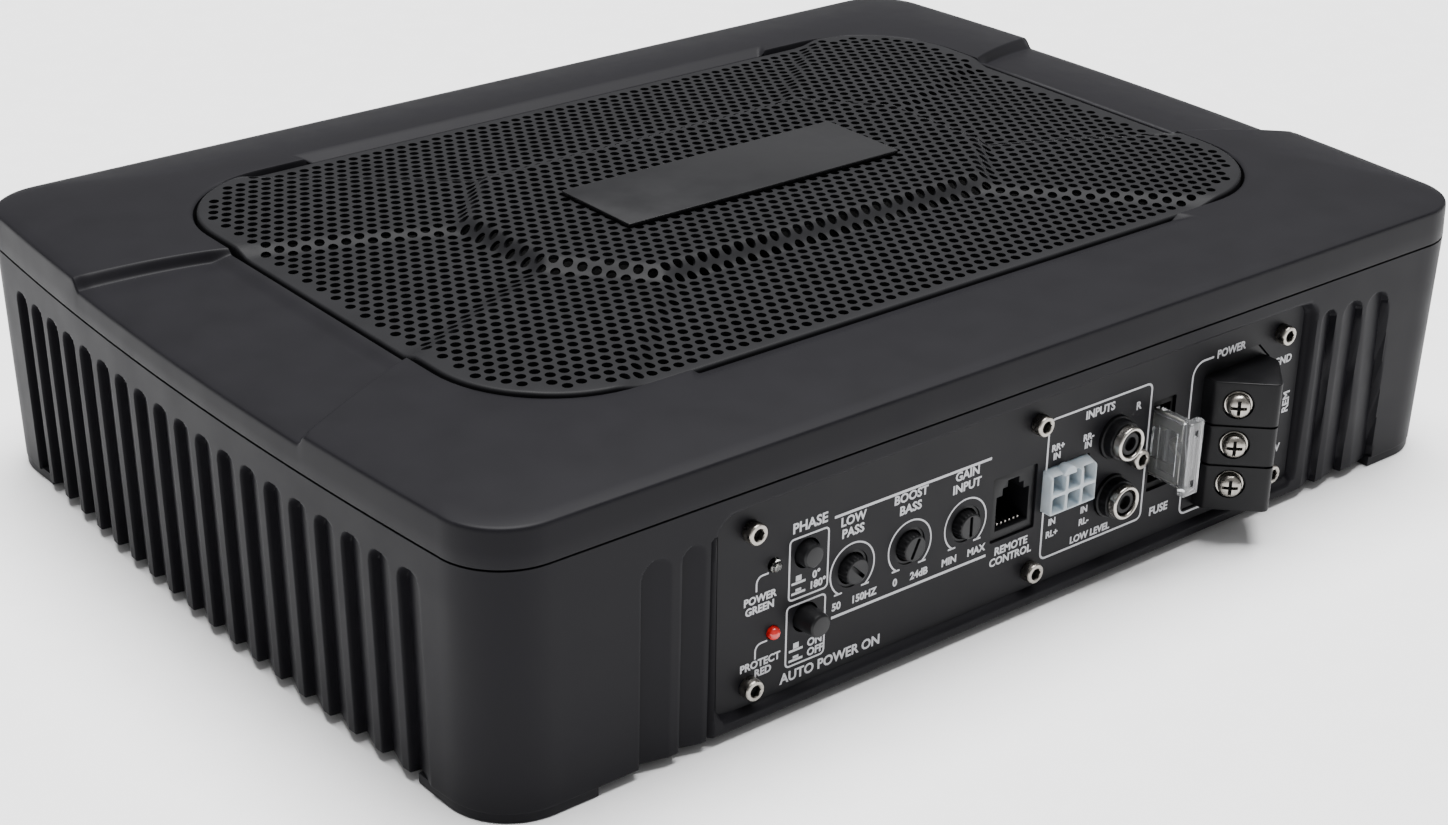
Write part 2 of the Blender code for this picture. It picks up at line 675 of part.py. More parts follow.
def indicator(name, place, look):
    """A 3 mm lamp: a domed lens on a collar behind the panel."""
    dome = [(1.5 * MM * math.sin(a), 1.4 * MM * math.cos(a)) for a in
            [math.radians(v) for v in (0, 30, 60, 90)]]
    profile = [(r, h + 0.4 * MM) for r, h in dome]
    profile += [(1.5 * MM, -2.4 * MM), (1.9 * MM, -2.4 * MM), (1.9 * MM, -3.4 * MM), (0, -3.4 * MM)]
    lamp = turned(name, profile, 16, closed=False)
    lamp.rotation_euler = (math.radians(90), 0, 0)
    lamp.location = (place[0], PANEL_Y, place[1])
    return finish(lamp, look)


def remote_jack():
    """The modular jack for a remote control: its latch notch is at the top."""
    low_x, high_x, low_z, high_z = JACK_BOX
    body = box("remote_jack", (low_x, high_x), (PANEL_Y + 0.6 * MM, MODULE_BACK_Y), (low_z, high_z))
    middle = (low_x + high_x) / 2
    steps = [(5.0, 2.2), (5.0, 10.6), (3.2, 10.6), (3.2, 12.4), (1.7, 12.4), (1.7, 14.0)]
    right = [(middle + x * MM, low_z + z * MM) for x, z in steps]
    left = [(middle - x * MM, low_z + z * MM) for x, z in reversed(steps)]
    cut(body, as_cutter(panel_prism("jack_hollow", right + left, (PANEL_Y - 1 * MM, PANEL_Y + 10 * MM))))
    return finish(body, DARK_PLASTIC)


def high_level_socket():
    """The six-way socket for the speaker-level inputs: two rows of three square pockets, a latch on top."""
    low_x, high_x, low_z, high_z = SOCKET_BOX
    body = box("high_level_socket", (low_x, high_x), (PANEL_Y - 3 * MM, MODULE_BACK_Y), (low_z, high_z))
    column, row = (high_x - low_x) / 3, (high_z - low_z) / 2
    for index in range(6):
        x = low_x + (index % 3 + 0.5) * column
        z = low_z + (index // 3 + 0.5) * row
        pocket = box(
            f"socket_pocket_{index}", (x - 1.9 * MM, x + 1.9 * MM), (PANEL_Y - 5 * MM, PANEL_Y + 5 * MM),
            (z - 2.0 * MM, z + 2.0 * MM))
        cut(body, as_cutter(pocket))
    return finish(body, NYLON)


def rca_housing():
    """The block behind the two phono sockets, with a collar and an insulating core for each."""
    body = box("rca_housing", (20.4 * MM, 38.2 * MM), (BEHIND_PANEL_Y, MODULE_BACK_Y), (14.5 * MM, 43.3 * MM))
    for name, z in RCA_Z.items():
        place = (RCA_X, z)
        collar = rod(f"{name}_collar", place, (PANEL_Y - RCA_COLLAR_PROUD, BEHIND_PANEL_Y + 2 * MM),
                     RCA_COLLAR_RADIUS)
        core = rod(f"{name}_core", place, (PANEL_Y - 4.8 * MM, BEHIND_PANEL_Y + 1 * MM), 2.8 * MM, 20)
        join(body, as_cutter(collar), as_cutter(core))
    for name, z in RCA_Z.items():
        pin = rod(f"{name}_pin_hole", (RCA_X, z), (PANEL_Y - 8 * MM, PANEL_Y + 5 * MM), 1.6 * MM, 16)
        cut(body, as_cutter(pin))
    x, z = PANEL_SCREWS["panel_screw_socket"]
    cut(body, as_cutter(rod("socket_screw_hole", (x, z), (-110 * MM, -98 * MM), 1.8 * MM, 12)))
    return finish(body, DARK_PLASTIC)


def rca_ring(name, z):
    """The nickel shell at the mouth of a phono socket."""
    profile = [(3.7, 2.0), (4.15, 1.5), (4.15, 0), (3.15, 0), (3.15, 1.7)]
    ring = turned(name, [(r * MM, h * MM) for r, h in profile], 24)
    ring.rotation_euler = (math.radians(90), 0, 0)
    ring.location = (RCA_X, PANEL_Y - RCA_COLLAR_PROUD - GAP, z)
    return finish(ring, NICKEL)


def fuse_holder():
    """The slot that the blade fuse is pushed into."""
    low_x, high_x, low_z, high_z = FUSE_SLOT_BOX
    body = box("fuse_holder", (low_x, high_x), (PANEL_Y + 0.8 * MM, -88 * MM), (low_z, high_z))
    x, z = FUSE_CENTRE
    half_x, half_z = FUSE_SIZE[0] / 2 + GAP, FUSE_SIZE[1] / 2 + GAP
    slot = box(
        "fuse_slot", (x - half_x, x + half_x), (PANEL_Y - 2 * MM, -90 * MM), (z - half_z, z + half_z))
    cut(body, as_cutter(slot))
    return finish(body, DARK_PLASTIC)


def blade_fuse():
    """A plug-in blade fuse: a flat body with a wider grip and two blades."""
    x, z = FUSE_CENTRE
    half_x, half_z = FUSE_SIZE[0] / 2, FUSE_SIZE[1] / 2
    fuse = box(
        "blade_fuse", (x - half_x, x + half_x), (FUSE_FRONT_Y, FUSE_FRONT_Y + 5 * MM),
        (z - half_z, z + half_z))
    body = box(
        "fuse_body", (x - 1.9 * MM, x + 1.9 * MM), (FUSE_FRONT_Y + 2 * MM, FUSE_FRONT_Y + 13.5 * MM),
        (z - half_z + 0.7 * MM, z + half_z - 0.7 * MM))
    join(fuse, as_cutter(body))
    for side in (-1, 1):
        middle = z + side * 6.3 * MM
        blade = box(
            f"fuse_blade_{side}", (x - 0.4 * MM, x + 0.4 * MM),
            (FUSE_FRONT_Y + 12 * MM, FUSE_FRONT_Y + 21 * MM), (middle - 2.6 * MM, middle + 2.6 * MM))
        join(fuse, as_cutter(blade))
    return finish(fuse, CLEAR)


SCREW_FACE = (60.15 * MM, -114.05 * MM)


def terminal_frame(z):
    """Local Z points out of the block's slanted face, along a terminal screw."""
    turn = Matrix.Rotation(math.radians(-45), 4, "Z") @ Matrix.Rotation(math.radians(90), 4, "X")
    return Matrix.Translation((*SCREW_FACE, z)) @ turn


def terminal_block():
    """Three cells one above the other. In plan the block stands out as a blunt wedge whose left
    face, at 45 degrees, holds the screws."""
    plan = [(56.0, -100), (56.0, -109.9), (66.2, -120.1), (67.4, -120.4), (68.6, -119.9),
            (76.6, -111.9), (77.4, -110.2), (77.4, -100)]
    block = prism(
        "terminal_block", [(x * MM, y * MM) for x, y in plan], TERMINAL_Z[1] - TERMINAL_Z[0])
    block.location = (0, 0, TERMINAL_Z[0])
    flange = panel_prism(
        "terminal_flange", terminal_outline(GAP), (PANEL_Y + 0.4 * MM, PANEL_Y + PANEL_THICKNESS))
    rear = box("terminal_rear", (53.5 * MM, 77.4 * MM), (BEHIND_PANEL_Y, -92 * MM), (9.9 * MM, 44.0 * MM))
    for extra in (flange, rear):
        join(block, as_cutter(extra))
    levels = sorted(TERMINALS.values())
    for low, high in zip(levels, levels[1:]):
        middle = (low + high) / 2 - 0.4 * MM
        groove = box(f"cell_groove_{middle:.4f}", (50 * MM, 90 * MM), (-130 * MM, PANEL_Y - 1.5 * MM),
                     (middle - 0.4 * MM, middle + 0.4 * MM))
        core = prism(f"groove_core_{middle:.4f}",
                     [(57.6 * MM, -105 * MM), (57.6 * MM, -109.4 * MM), (66.6 * MM, -118.4 * MM),
                      (68 * MM, -118.4 * MM), (75.9 * MM, -110.2 * MM), (75.9 * MM, -105 * MM)], 4 * MM)
        core.location = (0, 0, middle - 2 * MM)
        cut(groove, as_cutter(core))
        cut(block, as_cutter(groove))
    for name, z in TERMINALS.items():
        seat = turned(f"{name}_seat", [(0, 3 * MM), (3.7 * MM, 3 * MM), (3.7 * MM, -1.4 * MM),
                                       (2.1 * MM, -1.4 * MM), (2.1 * MM, -10.5 * MM), (0, -10.5 * MM)],
                      20, closed=False)
        seat.matrix_world = terminal_frame(z)
        cut(block, as_cutter(seat))
    return finish(block, DARK_PLASTIC)


def terminal_screw(name, z):
    """A cross-head terminal screw. Its origin is on its axis, at the block's face."""
    profile = [(0, 2.4), (1.4, 2.35), (2.4, 1.95), (2.9, 1.3), (2.9, 0.1), (1.65, 0.1), (1.65, -8.5), (0, -8.5)]
    screw = turned(name, [(r * MM, h * MM) for r, h in profile], 20, closed=False)
    screw.matrix_world = terminal_frame(z)
    for index, (long, wide) in enumerate(((1.9, 0.42), (0.42, 1.9))):
        slot = box(f"{name}_recess_{index}", (-long * MM, long * MM), (-wide * MM, wide * MM),
                   (1.0 * MM, 3.5 * MM))
        cut(screw, as_cutter(slot, parent=screw))
    return finish(screw, NICKEL)


def terminal_washer(name, z):
    """The captive washer that clamps a wire's fork under the screw's head."""
    profile = [(3.35, -0.2), (3.35, -1.1), (2.0, -1.1), (2.0, -0.2)]
    washer = turned(name, [(r * MM, h * MM) for r, h in profile], 20)
    washer.matrix_world = terminal_frame(z)
    return finish(washer, NICKEL)


def amplifier():
    """The boards and parts behind and beside the panel."""
    finish(box("control_board", (-80 * MM, 38 * MM), (CONTROL_BOARD_Y, CONTROL_BOARD_Y + 1.6 * MM),
               (13 * MM, 45 * MM)), BOARD_GREEN)
    board_top = 10.8 * MM
    finish(box("amplifier_board", (-96 * MM, 76 * MM), (-87 * MM, -50 * MM), (9.2 * MM, board_top)),
           BOARD_GREEN)
    sink = box("heat_sink", (-124 * MM, -120 * MM), (-86 * MM, -40 * MM), (6 * MM, 40 * MM))
    for index in range(6):
        y = (-84 + index * 8.4) * MM
        fin = box(f"sink_fin_{index}", (-136 * MM, -122 * MM), (y - 0.8 * MM, y + 0.8 * MM),
                  (6 * MM, 40 * MM))
        join(sink, as_cutter(fin))
    finish(sink, ALUMINIUM)
    for index in range(3):
        y = (-76 + index * 13) * MM
        name = f"power_transistor_{index + 1}"
        body = box(name, (-119.6 * MM, -115.2 * MM), (y - 5 * MM, y + 5 * MM), (14 * MM, 30 * MM))
        bevel(body, 0.4 * MM, 1)
        finish(body, DARK_PLASTIC)
    for index, x in enumerate((14, 34)):
        profile = [(0, 25), (7.2, 25), (8, 24.2), (8, 0), (0, 0)]
        can = turned(f"supply_capacitor_{index + 1}", [(r * MM, h * MM) for r, h in profile], 20,
                     closed=False)
        can.location = (x * MM, -72 * MM, board_top + GAP)
        finish(can, DARK_PLASTIC)
    coil = turned("toroid_transformer", arc((10.5 * MM, 0), 5 * MM, 0, -315, 7), 24)
    coil.location = (-22 * MM, -70 * MM, board_top + GAP + 5 * MM)
    finish(coil, COPPER)


WOOFER_RADIUS = 82.5 * MM
BAFFLE_Z = (51.4 * MM, 55.4 * MM)


def baffle():
    """The board that carries the woofer. It stands on the tub's corner posts."""
    inner = outline(BODY_HALF_X - WALL - 0.7 * MM, (CAVITY_BACK_Y - CAVITY_FRONT_Y) / 2 - 0.6 * MM,
                    CORNER_RADIUS - WALL / 2, SIDE_BOW)
    middle = (CAVITY_BACK_Y + CAVITY_FRONT_Y) / 2
    board = prism("baffle_board", [(x * 0.998, y + middle) for x, y in inner], BAFFLE_Z[1] - BAFFLE_Z[0])
    board.location = (0, 0, BAFFLE_Z[0])
    hole = prism("baffle_hole", arc((0, 0), 76.5 * MM, 0, 352.5, 47), 20 * MM)
    hole.location = (0, 0, BAFFLE_Z[0] - 8 * MM)
    cut(board, as_cutter(hole))
    return finish(board, FIBREBOARD)


def basket():
    """The woofer's pressed frame: a flange, six windows in its bowl, and the spider's ledge."""
    profile = [
        (82.5, 57.7), (82.5, 55.7), (75.2, 55.7), (74.2, 52.5), (58, 39.4), (52, 35.4), (22, 35.4),
        (22, 36.9), (48, 36.9), (50, 41.0), (55.5, 41.0), (57, 43.0), (71.5, 54.2), (72.0, 57.7)]
    frame = turned("woofer_basket", [(r * MM, h * MM) for r, h in profile])
    for index in range(6):
        turn = math.radians(60 * index + 30)
        window = box(f"basket_window_{index}", (58.5 * MM, 80 * MM), (-17 * MM, 17 * MM),
                     (42.5 * MM, 51.5 * MM))
        window.rotation_euler = (0, 0, turn)
        window.location = Matrix.Rotation(turn, 3, "Z") @ window.location
        cut(frame, as_cutter(window))
    return finish(frame, ZINC_STEEL)


def surround():
    """The rubber half roll between the basket and the cone."""
    low = 58.0
    profile = [(71.6, low + 0.7), (71.6, low - 0.05), (65.9, low - 0.05)]
    profile += [(61 + 4.6 * math.cos(math.radians(a)), low + 4.6 * math.sin(math.radians(a)))
                for a in (20, 50, 80, 110, 140, 160)]
    profile += [(56.1, low - 0.05), (52.2, low - 0.05), (52.2, low + 0.7), (55.6, low + 0.7)]
    profile += [(61 + 5.4 * math.cos(math.radians(a)), low + 5.4 * math.sin(math.radians(a)))
                for a in (160, 140, 110, 80, 50, 20)]
    profile += [(66.4, low + 0.7)]
    ring = turned("cone_surround", [(r * MM, h * MM) for r, h in profile])
    return finish(ring, RUBBER)


def cone_assembly():
    """What the motor drives: the cone, its dust cap and the voice coil."""
    cone_profile = [(55.4, 57.6), (55.4, 56.9), (50, 55.2), (30, 48.6), (20.9, 44.6), (20.9, 45.4),
                    (30, 49.4), (50, 56.0), (52, 57.6)]
    finish(turned("woofer_cone", [(r * MM, h * MM) for r, h in cone_profile]), PAPER_CONE)
    dome = [(24.0 * math.sin(a), 49.2 + 5.0 * (math.cos(a) - 0.31) / 0.69)
            for a in [math.radians(v) for v in (0, 24, 48, 72)]]
    under = [(r * 0.96, h - 0.8) for r, h in reversed(dome)]
    shell = [(0, dome[0][1])] + dome[1:] + under[:-1] + [(0, under[-1][1])]
    cap = turned("dust_cap", [(r * MM, h * MM) for r, h in shell], closed=False)
    finish(cap, PAPER_CONE)
    coil_profile = [(20.4, 44.2), (20.4, 24.0), (19.3, 24.0), (19.3, 44.2)]
    finish(turned("voice_coil", [(r * MM, h * MM) for r, h in coil_profile]), COPPER)


def spider():
    """The corrugated cloth that centres the voice coil."""
    def wave(r):
        return 42.0 + 0.9 * math.sin(2 * math.pi * (r - 21) / 8.2)

    radii = [21.0 + 4.1 / 2 * i for i in range(14)]
    top = [(r, wave(r) + 0.3) for r in radii] + [(50.3, 42.3), (54.8, 41.9)]
    bottom = [(r, h - 0.6) for r, h in reversed(top)]
    return finish(turned("spider", [(r * MM, h * MM) for r, h in top + bottom], 24), CLOTH)


def motor():
    """The magnet system, bottom up: back plate with its pole, ferrite ring and top plate."""
    back = [(0, 35.1), (18.2, 35.1), (18.2, 15.5), (43, 15.5), (43, 10.5), (0, 10.5)]
    finish(turned("back_plate", [(r * MM, h * MM) for r, h in back], closed=False), ZINC_STEEL)
    ring = [(44, 29.8), (44, 15.8), (24, 15.8), (24, 29.8)]
    finish(turned("magnet", [(r * MM, h * MM) for r, h in ring]), FERRITE)
    plate = [(45, 35.1), (45, 30.1), (21.3, 30.1), (21.3, 35.1)]
    finish(turned("top_plate", [(r * MM, h * MM) for r, h in plate]), ZINC_STEEL)


def gasket():
    """The foam ring on the basket's flange."""
    profile = [(82.3, 59.6), (82.3, 58.0), (72.2, 58.0), (72.2, 59.6)]
    return finish(turned("woofer_gasket", [(r * MM, h * MM) for r, h in profile]), RUBBER)


def speaker_terminal():
    """The small tag strip that the woofer's leads are soldered to, beside the bowl."""
    strip = box("speaker_terminal", (-9 * MM, 9 * MM), (-58.5 * MM, -56.5 * MM), (30 * MM, 34.8 * MM))
    return finish(strip, FIBREBOARD)


def build():
    lower_housing()
    top_cover()
    grille()
    name_plate()
    control_panel()
    for name, (x, z) in PANEL_SCREWS.items():
        panel_screw(name, x, z)
    push_button("phase_button", PHASE_BUTTON, BUTTON_IN)
    push_button("auto_power_button", AUTO_BUTTON, BUTTON_OUT)
    switch_body("phase_switch", PHASE_BUTTON)
    switch_body("auto_power_switch", AUTO_BUTTON)
    for name, (x, z, angle) in POTS.items():
        knob(f"{name}_knob", x, z, angle)
        potentiometer(f"{name}_potentiometer", x, z)
    indicator("power_led", LEDS["power_led"], CLEAR_LENS)
    indicator("protect_led", LEDS["protect_led"], RED_LENS)
    remote_jack()
    high_level_socket()
    rca_housing()
    for name, z in RCA_Z.items():
        rca_ring(name, z)
    fuse_holder()
    blade_fuse()
    terminal_block()
    for name, z in TERMINALS.items():
        terminal_screw(f"{name}_terminal_screw", z)
        terminal_washer(f"{name}_terminal_washer", z)
    amplifier()
    baffle()
    basket()
    gasket()
    surround()
    cone_assembly()
    spider()
    motor()
    speaker_terminal()


build()
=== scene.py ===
"""Looks of the powered under-seat car subwoofer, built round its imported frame. Shapes are written
in millimetres in the body's own frame (X along the panel, -Y out of it, Z up from the floor)."""

import itertools
import math

import bmesh
import bpy
from mathutils import Matrix, Vector
from mathutils.geometry import delaunay_2d_cdt


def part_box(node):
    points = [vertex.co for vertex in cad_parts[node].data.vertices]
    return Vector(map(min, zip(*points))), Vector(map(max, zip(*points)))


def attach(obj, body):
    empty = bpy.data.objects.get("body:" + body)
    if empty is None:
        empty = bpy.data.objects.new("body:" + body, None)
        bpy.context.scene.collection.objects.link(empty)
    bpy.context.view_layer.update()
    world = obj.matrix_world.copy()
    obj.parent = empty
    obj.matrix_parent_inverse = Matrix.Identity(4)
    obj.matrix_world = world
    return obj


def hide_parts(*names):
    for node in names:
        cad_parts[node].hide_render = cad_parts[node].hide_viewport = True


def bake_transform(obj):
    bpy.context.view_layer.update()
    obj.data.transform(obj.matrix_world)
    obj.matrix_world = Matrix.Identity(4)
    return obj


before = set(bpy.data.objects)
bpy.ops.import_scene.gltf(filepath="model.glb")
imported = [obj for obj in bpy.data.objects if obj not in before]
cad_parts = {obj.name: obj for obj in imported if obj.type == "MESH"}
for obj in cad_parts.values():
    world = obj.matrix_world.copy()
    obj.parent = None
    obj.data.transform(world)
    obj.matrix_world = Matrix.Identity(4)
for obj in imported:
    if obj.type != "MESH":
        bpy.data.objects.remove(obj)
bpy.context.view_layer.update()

MM = 0.001
HOUSING_LOW, HOUSING_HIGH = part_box("lower_housing")
SHIFT_Y = (HOUSING_LOW[1] + HOUSING_HIGH[1]) / 2
ROOT_BODY = "housing"

# Body.
HALF_X = 152.4
HALF_Y = 109.7
CORNER = 15.5
BOW = 4.0
DRAFT = math.tan(math.radians(1.0))
SEAM_Z = 58.0
BASE_Z = 2.2
BOTTOM_ROUND = 0.4
FLOOR_TOP_Z = 5.4
WALL = 3.0
CAVITY_Y = (-101.0, 106.4)
FLUTE_COUNT = 19
FLUTE_PITCH = 9.4
FLUTE_WIDTH = 7.2
FLUTE_DEPTH = 2.6
FLUTE_TOP_Z = 51.4
GROOVE_TOP_Z = 50.3
GROOVE_DEPTH = 1.9
GROOVES = (
    (-111.0, 7.5, 0.0),
    (-101.0, 6.0, 0.0),
    (-93.6, 1.9, 0.0),
    (99.6, 5.5, 1.0),
    (109.6, 7.5, 1.0),
    (120.5, 8.5, 4.0),
)

# Cover and grille.
COVER_LOW_Z = 58.3
COVER_EDGE_Z = 67.1
COVER_INNER_Z = 69.9
GRILLE_CENTRE = (1.2, 1.4)
OPENING_X, OPENING_Y, OPENING_R = 118.4, 78.1, 30.9
RIM_DROP = 2.6
GRILLE_X, GRILLE_Y, GRILLE_R = 117.5, 77.2, 30.0
GRILLE_Z = 70.4
BAND_DROP = 1.5
PLATEAU_TOP_Z = 73.5
PERFORATION_PITCH = 3.53
PERFORATION_RADIUS = 1.22

# Panel.
PANEL_Y = -106.9
PANEL_BACK_Y = -104.9
PANEL_HALF_X = 90.0
PANEL_Z = (4.4, 52.9)
SCREWS = ((-81.4, 47.2), (-81.4, 10.2), (0.7, 47.2), (0.7, 10.2), (82.2, 47.2), (82.2, 10.2),
          (33.5, 29.1))
SCREW_NODES = (
    "panel_screw_top_left", "panel_screw_bottom_left", "panel_screw_top_middle",
    "panel_screw_bottom_middle", "panel_screw_top_right", "panel_screw_bottom_right",
    "panel_screw_socket",
)
BUTTONS = {"phase_button": (-66.0, 36.9, 2.6), "auto_power_button": (-66.0, 21.5, 5.4)}
KNOBS = {"low_pass_knob": (-53.2, -45.0), "bass_boost_knob": (-36.7, 25.0),
         "gain_knob": (-20.2, 0.0)}
KNOB_Z = 28.8
LEDS = {"power_led": (-75.0, 37.1), "protect_led": (-75.0, 21.0)}
JACK = (-12.0, 1.3, 21.2, 37.0)
SOCKET = (3.5, 18.0, 24.0, 34.5)
RCA_X = 26.3
RCA_Z = {"rca_ring_right": 36.3, "rca_ring_left": 21.3}
FUSE = (42.5, 29.7)
FUSE_SLOT = (38.9, 46.1, 18.2, 41.2)
TERMINAL_WINDOW = (52.3, 78.7, 8.7, 46.3)
TERMINAL_FACE = (60.15, -114.05)
TERMINALS = {"ground": 37.3, "remote": 26.9, "battery": 16.5}
TERMINAL_Z = (9.4, 43.0)


# Light.
SUN_FROM = (0.14, 0.12, 1.0)
SUN_STRENGTH = 9.5
SUN_ANGLE = 45
SKY_STRENGTH = 0.40

# Flexing rings.
FLEX_SECTORS = 8


# Materials.

def new_material(name):
    made = bpy.data.materials.new(name)
    made.use_nodes = True
    return made, made.node_tree.nodes, made.node_tree.links, made.node_tree.nodes["Principled BSDF"]


def noise_texture(nodes, links, coords, scale, detail=3.0):
    texture = nodes.new("ShaderNodeTexNoise")
    texture.inputs["Scale"].default_value = scale
    texture.inputs["Detail"].default_value = detail
    links.new(coords.outputs["Object"], texture.inputs["Vector"])
    return texture


def map_range(nodes, links, source, low, high, start=0.3, end=0.7):
    node = nodes.new("ShaderNodeMapRange")
    node.inputs["From Min"].default_value = start
    node.inputs["From Max"].default_value = end
    node.inputs["To Min"].default_value = low
    node.inputs["To Max"].default_value = high
    links.new(source, node.inputs["Value"])
    return node


def vary_gloss(nodes, links, source, shader, low, high):
    gloss = map_range(nodes, links, source, low, high)
    links.new(gloss.outputs["Result"], shader.inputs["Roughness"])


def add_bump(nodes, links, source, shader, strength, depth):
    """Bump of this depth in millimetres."""
    bump = nodes.new("ShaderNodeBump")
    bump.inputs["Strength"].default_value = strength
    bump.inputs["Distance"].default_value = depth * MM
    links.new(source, bump.inputs["Height"])
    links.new(bump.outputs["Normal"], shader.inputs["Normal"])


def surface(name, color, roughness, metallic=0.0, mottle=0.12, mottle_scale=90.0, grain=2500.0,
            depth=0.02, spread=0.06, wear=None, coat=0.0, stretch=None, shine=0.5):
    """A Principled material whose colour and gloss vary, with a fine grain and maybe worn edges."""
    made, nodes, links, shader = new_material(name)
    shader.inputs["Metallic"].default_value = metallic
    shader.inputs["Specular IOR Level"].default_value = shine
    if coat:
        shader.inputs["Coat Weight"].default_value = coat
        shader.inputs["Coat Roughness"].default_value = 0.15
    coords = nodes.new("ShaderNodeTexCoord")
    broad = noise_texture(nodes, links, coords, mottle_scale)
    fine = noise_texture(nodes, links, coords, grain, 2.0)
    if stretch:
        mapping = nodes.new("ShaderNodeMapping")
        mapping.inputs["Scale"].default_value = stretch
        links.new(coords.outputs["Object"], mapping.inputs["Vector"])
        links.new(mapping.outputs["Vector"], fine.inputs["Vector"])
    mix = nodes.new("ShaderNodeMix")
    mix.data_type = "RGBA"
    mix.inputs["A"].default_value = (*[c * (1 - mottle) for c in color], 1)
    mix.inputs["B"].default_value = (*[min(1, c * (1 + mottle)) for c in color], 1)
    factor = map_range(nodes, links, broad.outputs["Fac"], 0, 1)
    links.new(factor.outputs["Result"], mix.inputs["Factor"])
    result = mix
    if wear:
        geometry = nodes.new("ShaderNodeNewGeometry")
        edge = map_range(nodes, links, geometry.outputs["Pointiness"], 0, 1, 0.52, 0.60)
        scuffs = nodes.new("ShaderNodeMath")
        scuffs.operation = "MULTIPLY"
        links.new(edge.outputs["Result"], scuffs.inputs[0])
        links.new(factor.outputs["Result"], scuffs.inputs[1])
        result = nodes.new("ShaderNodeMix")
        result.data_type = "RGBA"
        result.inputs["B"].default_value = (*wear, 1)
        links.new(mix.outputs["Result"], result.inputs["A"])
        links.new(scuffs.outputs["Value"], result.inputs["Factor"])
    links.new(result.outputs["Result"], shader.inputs["Base Color"])
    vary_gloss(nodes, links, broad.outputs["Fac"], shader, roughness - spread, roughness + spread)
    add_bump(nodes, links, fine.outputs["Fac"], shader, 0.5, depth)
    return made


def clear(name, color, roughness=0.04, ior=1.49, share=1.0):
    """Clear moulded plastic, with a slight waviness."""
    made, nodes, links, shader = new_material(name)
    shader.inputs["Transmission Weight"].default_value = share
    shader.inputs["IOR"].default_value = ior
    coords = nodes.new("ShaderNodeTexCoord")
    broad = noise_texture(nodes, links, coords, 300)
    tint = nodes.new("ShaderNodeMix")
    tint.data_type = "RGBA"
    tint.inputs["A"].default_value = (*color, 1)
    tint.inputs["B"].default_value = (*[c * 0.93 for c in color], 1)
    links.new(broad.outputs["Fac"], tint.inputs["Factor"])
    links.new(tint.outputs["Result"], shader.inputs["Base Color"])
    vary_gloss(nodes, links, broad.outputs["Fac"], shader, roughness, roughness + 0.06)
    add_bump(nodes, links, broad.outputs["Fac"], shader, 0.25, 0.05)
    return made


ABS_BLACK = surface("satin_black_abs", (0.0062, 0.0059, 0.0076), 0.50, grain=3800, depth=0.012,
                    mottle=0.08, spread=0.03, wear=(0.012, 0.012, 0.0135), shine=0.10)
PANEL_PAINT = surface("panel_paint", (0.0060, 0.0058, 0.0072), 0.46, grain=5200, depth=0.012,
                      mottle=0.10, spread=0.04, shine=0.12)
MESH_COAT = surface("grille_powder_coat", (0.0064, 0.0064, 0.0076), 0.58, grain=2800,
                    mottle=0.15, spread=0.05, shine=0.14)
PLATE_BLACK = surface("name_plate_lacquer", (0.0060, 0.0060, 0.0072), 0.34, grain=6000, depth=0.006,
                      mottle=0.08, spread=0.04, shine=0.25)
MOULDED = surface("moulded_black", (0.0045, 0.0045, 0.0052), 0.38, grain=3200, mottle=0.2,
                  wear=(0.009, 0.009, 0.010), shine=0.15)
KNOB_BLACK = surface("knob_black", (0.0060, 0.0060, 0.0068), 0.42, grain=3500, mottle=0.2,
                     shine=0.25)
# Near-black: the fuse cradle's own colour, and painted shade on the floors of the screw sockets and
# screw recesses.
DEEP_BLACK_AND_PAINTED_SHADE = surface("black_and_painted_shade", (0.002, 0.002, 0.0022), 0.5, grain=2500, shine=0.1)
STAINED = surface("black_stained_board", (0.0015, 0.0015, 0.0016), 0.85, grain=700, depth=0.1,
                  mottle=0.3, mottle_scale=400, shine=0.05)
BLACK_STEEL = surface("black_steel", (0.002, 0.002, 0.002), 0.6, grain=1500, shine=0.05)
INK = surface("white_ink", (0.50, 0.50, 0.52), 0.6, grain=4000, depth=0.01, mottle=0.06)
NICKEL = surface("bright_nickel", (0.42, 0.40, 0.37), 0.22, metallic=1.0, grain=3000, depth=0.01,
                 mottle=0.08, spread=0.08)
SCREW_NICKEL = surface("screw_nickel", (0.34, 0.32, 0.29), 0.30, metallic=1.0, grain=3000,
                       mottle=0.2, mottle_scale=500, spread=0.1)
ZINC = surface("zinc_plate", (0.45, 0.43, 0.38), 0.35, metallic=1.0, grain=1500, mottle=0.15)
ALUMINIUM = surface("extruded_aluminium", (0.58, 0.59, 0.60), 0.38, metallic=1.0, grain=1200,
                    stretch=(1, 1, 0.05))
COPPER = surface("copper_winding", (0.55, 0.22, 0.08), 0.3, metallic=1.0, grain=1800,
                 stretch=(1, 1, 0.1), depth=0.15)
FERRITE = surface("ferrite", (0.05, 0.05, 0.055), 0.6, grain=900, depth=0.04)
CONE_PULP = surface("cone_pulp", (0.003, 0.003, 0.003), 0.75, shine=0.1, grain=700, depth=0.15,
                    mottle=0.3)
RUBBER = surface("rubber", (0.003, 0.003, 0.003), 0.55, grain=2000, shine=0.1)
CLOTH = surface("resin_cloth", (0.50, 0.34, 0.12), 0.8, grain=1500, depth=0.2, mottle=0.2)
FIBREBOARD = surface("fibreboard", (0.20, 0.135, 0.08), 0.85, grain=700, depth=0.15, mottle=0.3,
                     mottle_scale=400)
BOARD = surface("solder_mask", (0.015, 0.12, 0.045), 0.35, grain=600, depth=0.05, mottle=0.3,
                mottle_scale=250, coat=0.3)
FUSE_CLEAR = clear("clear_fuse", (0.70, 0.71, 0.72), roughness=0.05, share=0.90)
LENS_CLEAR = clear("clear_lens", (0.93, 0.93, 0.86))
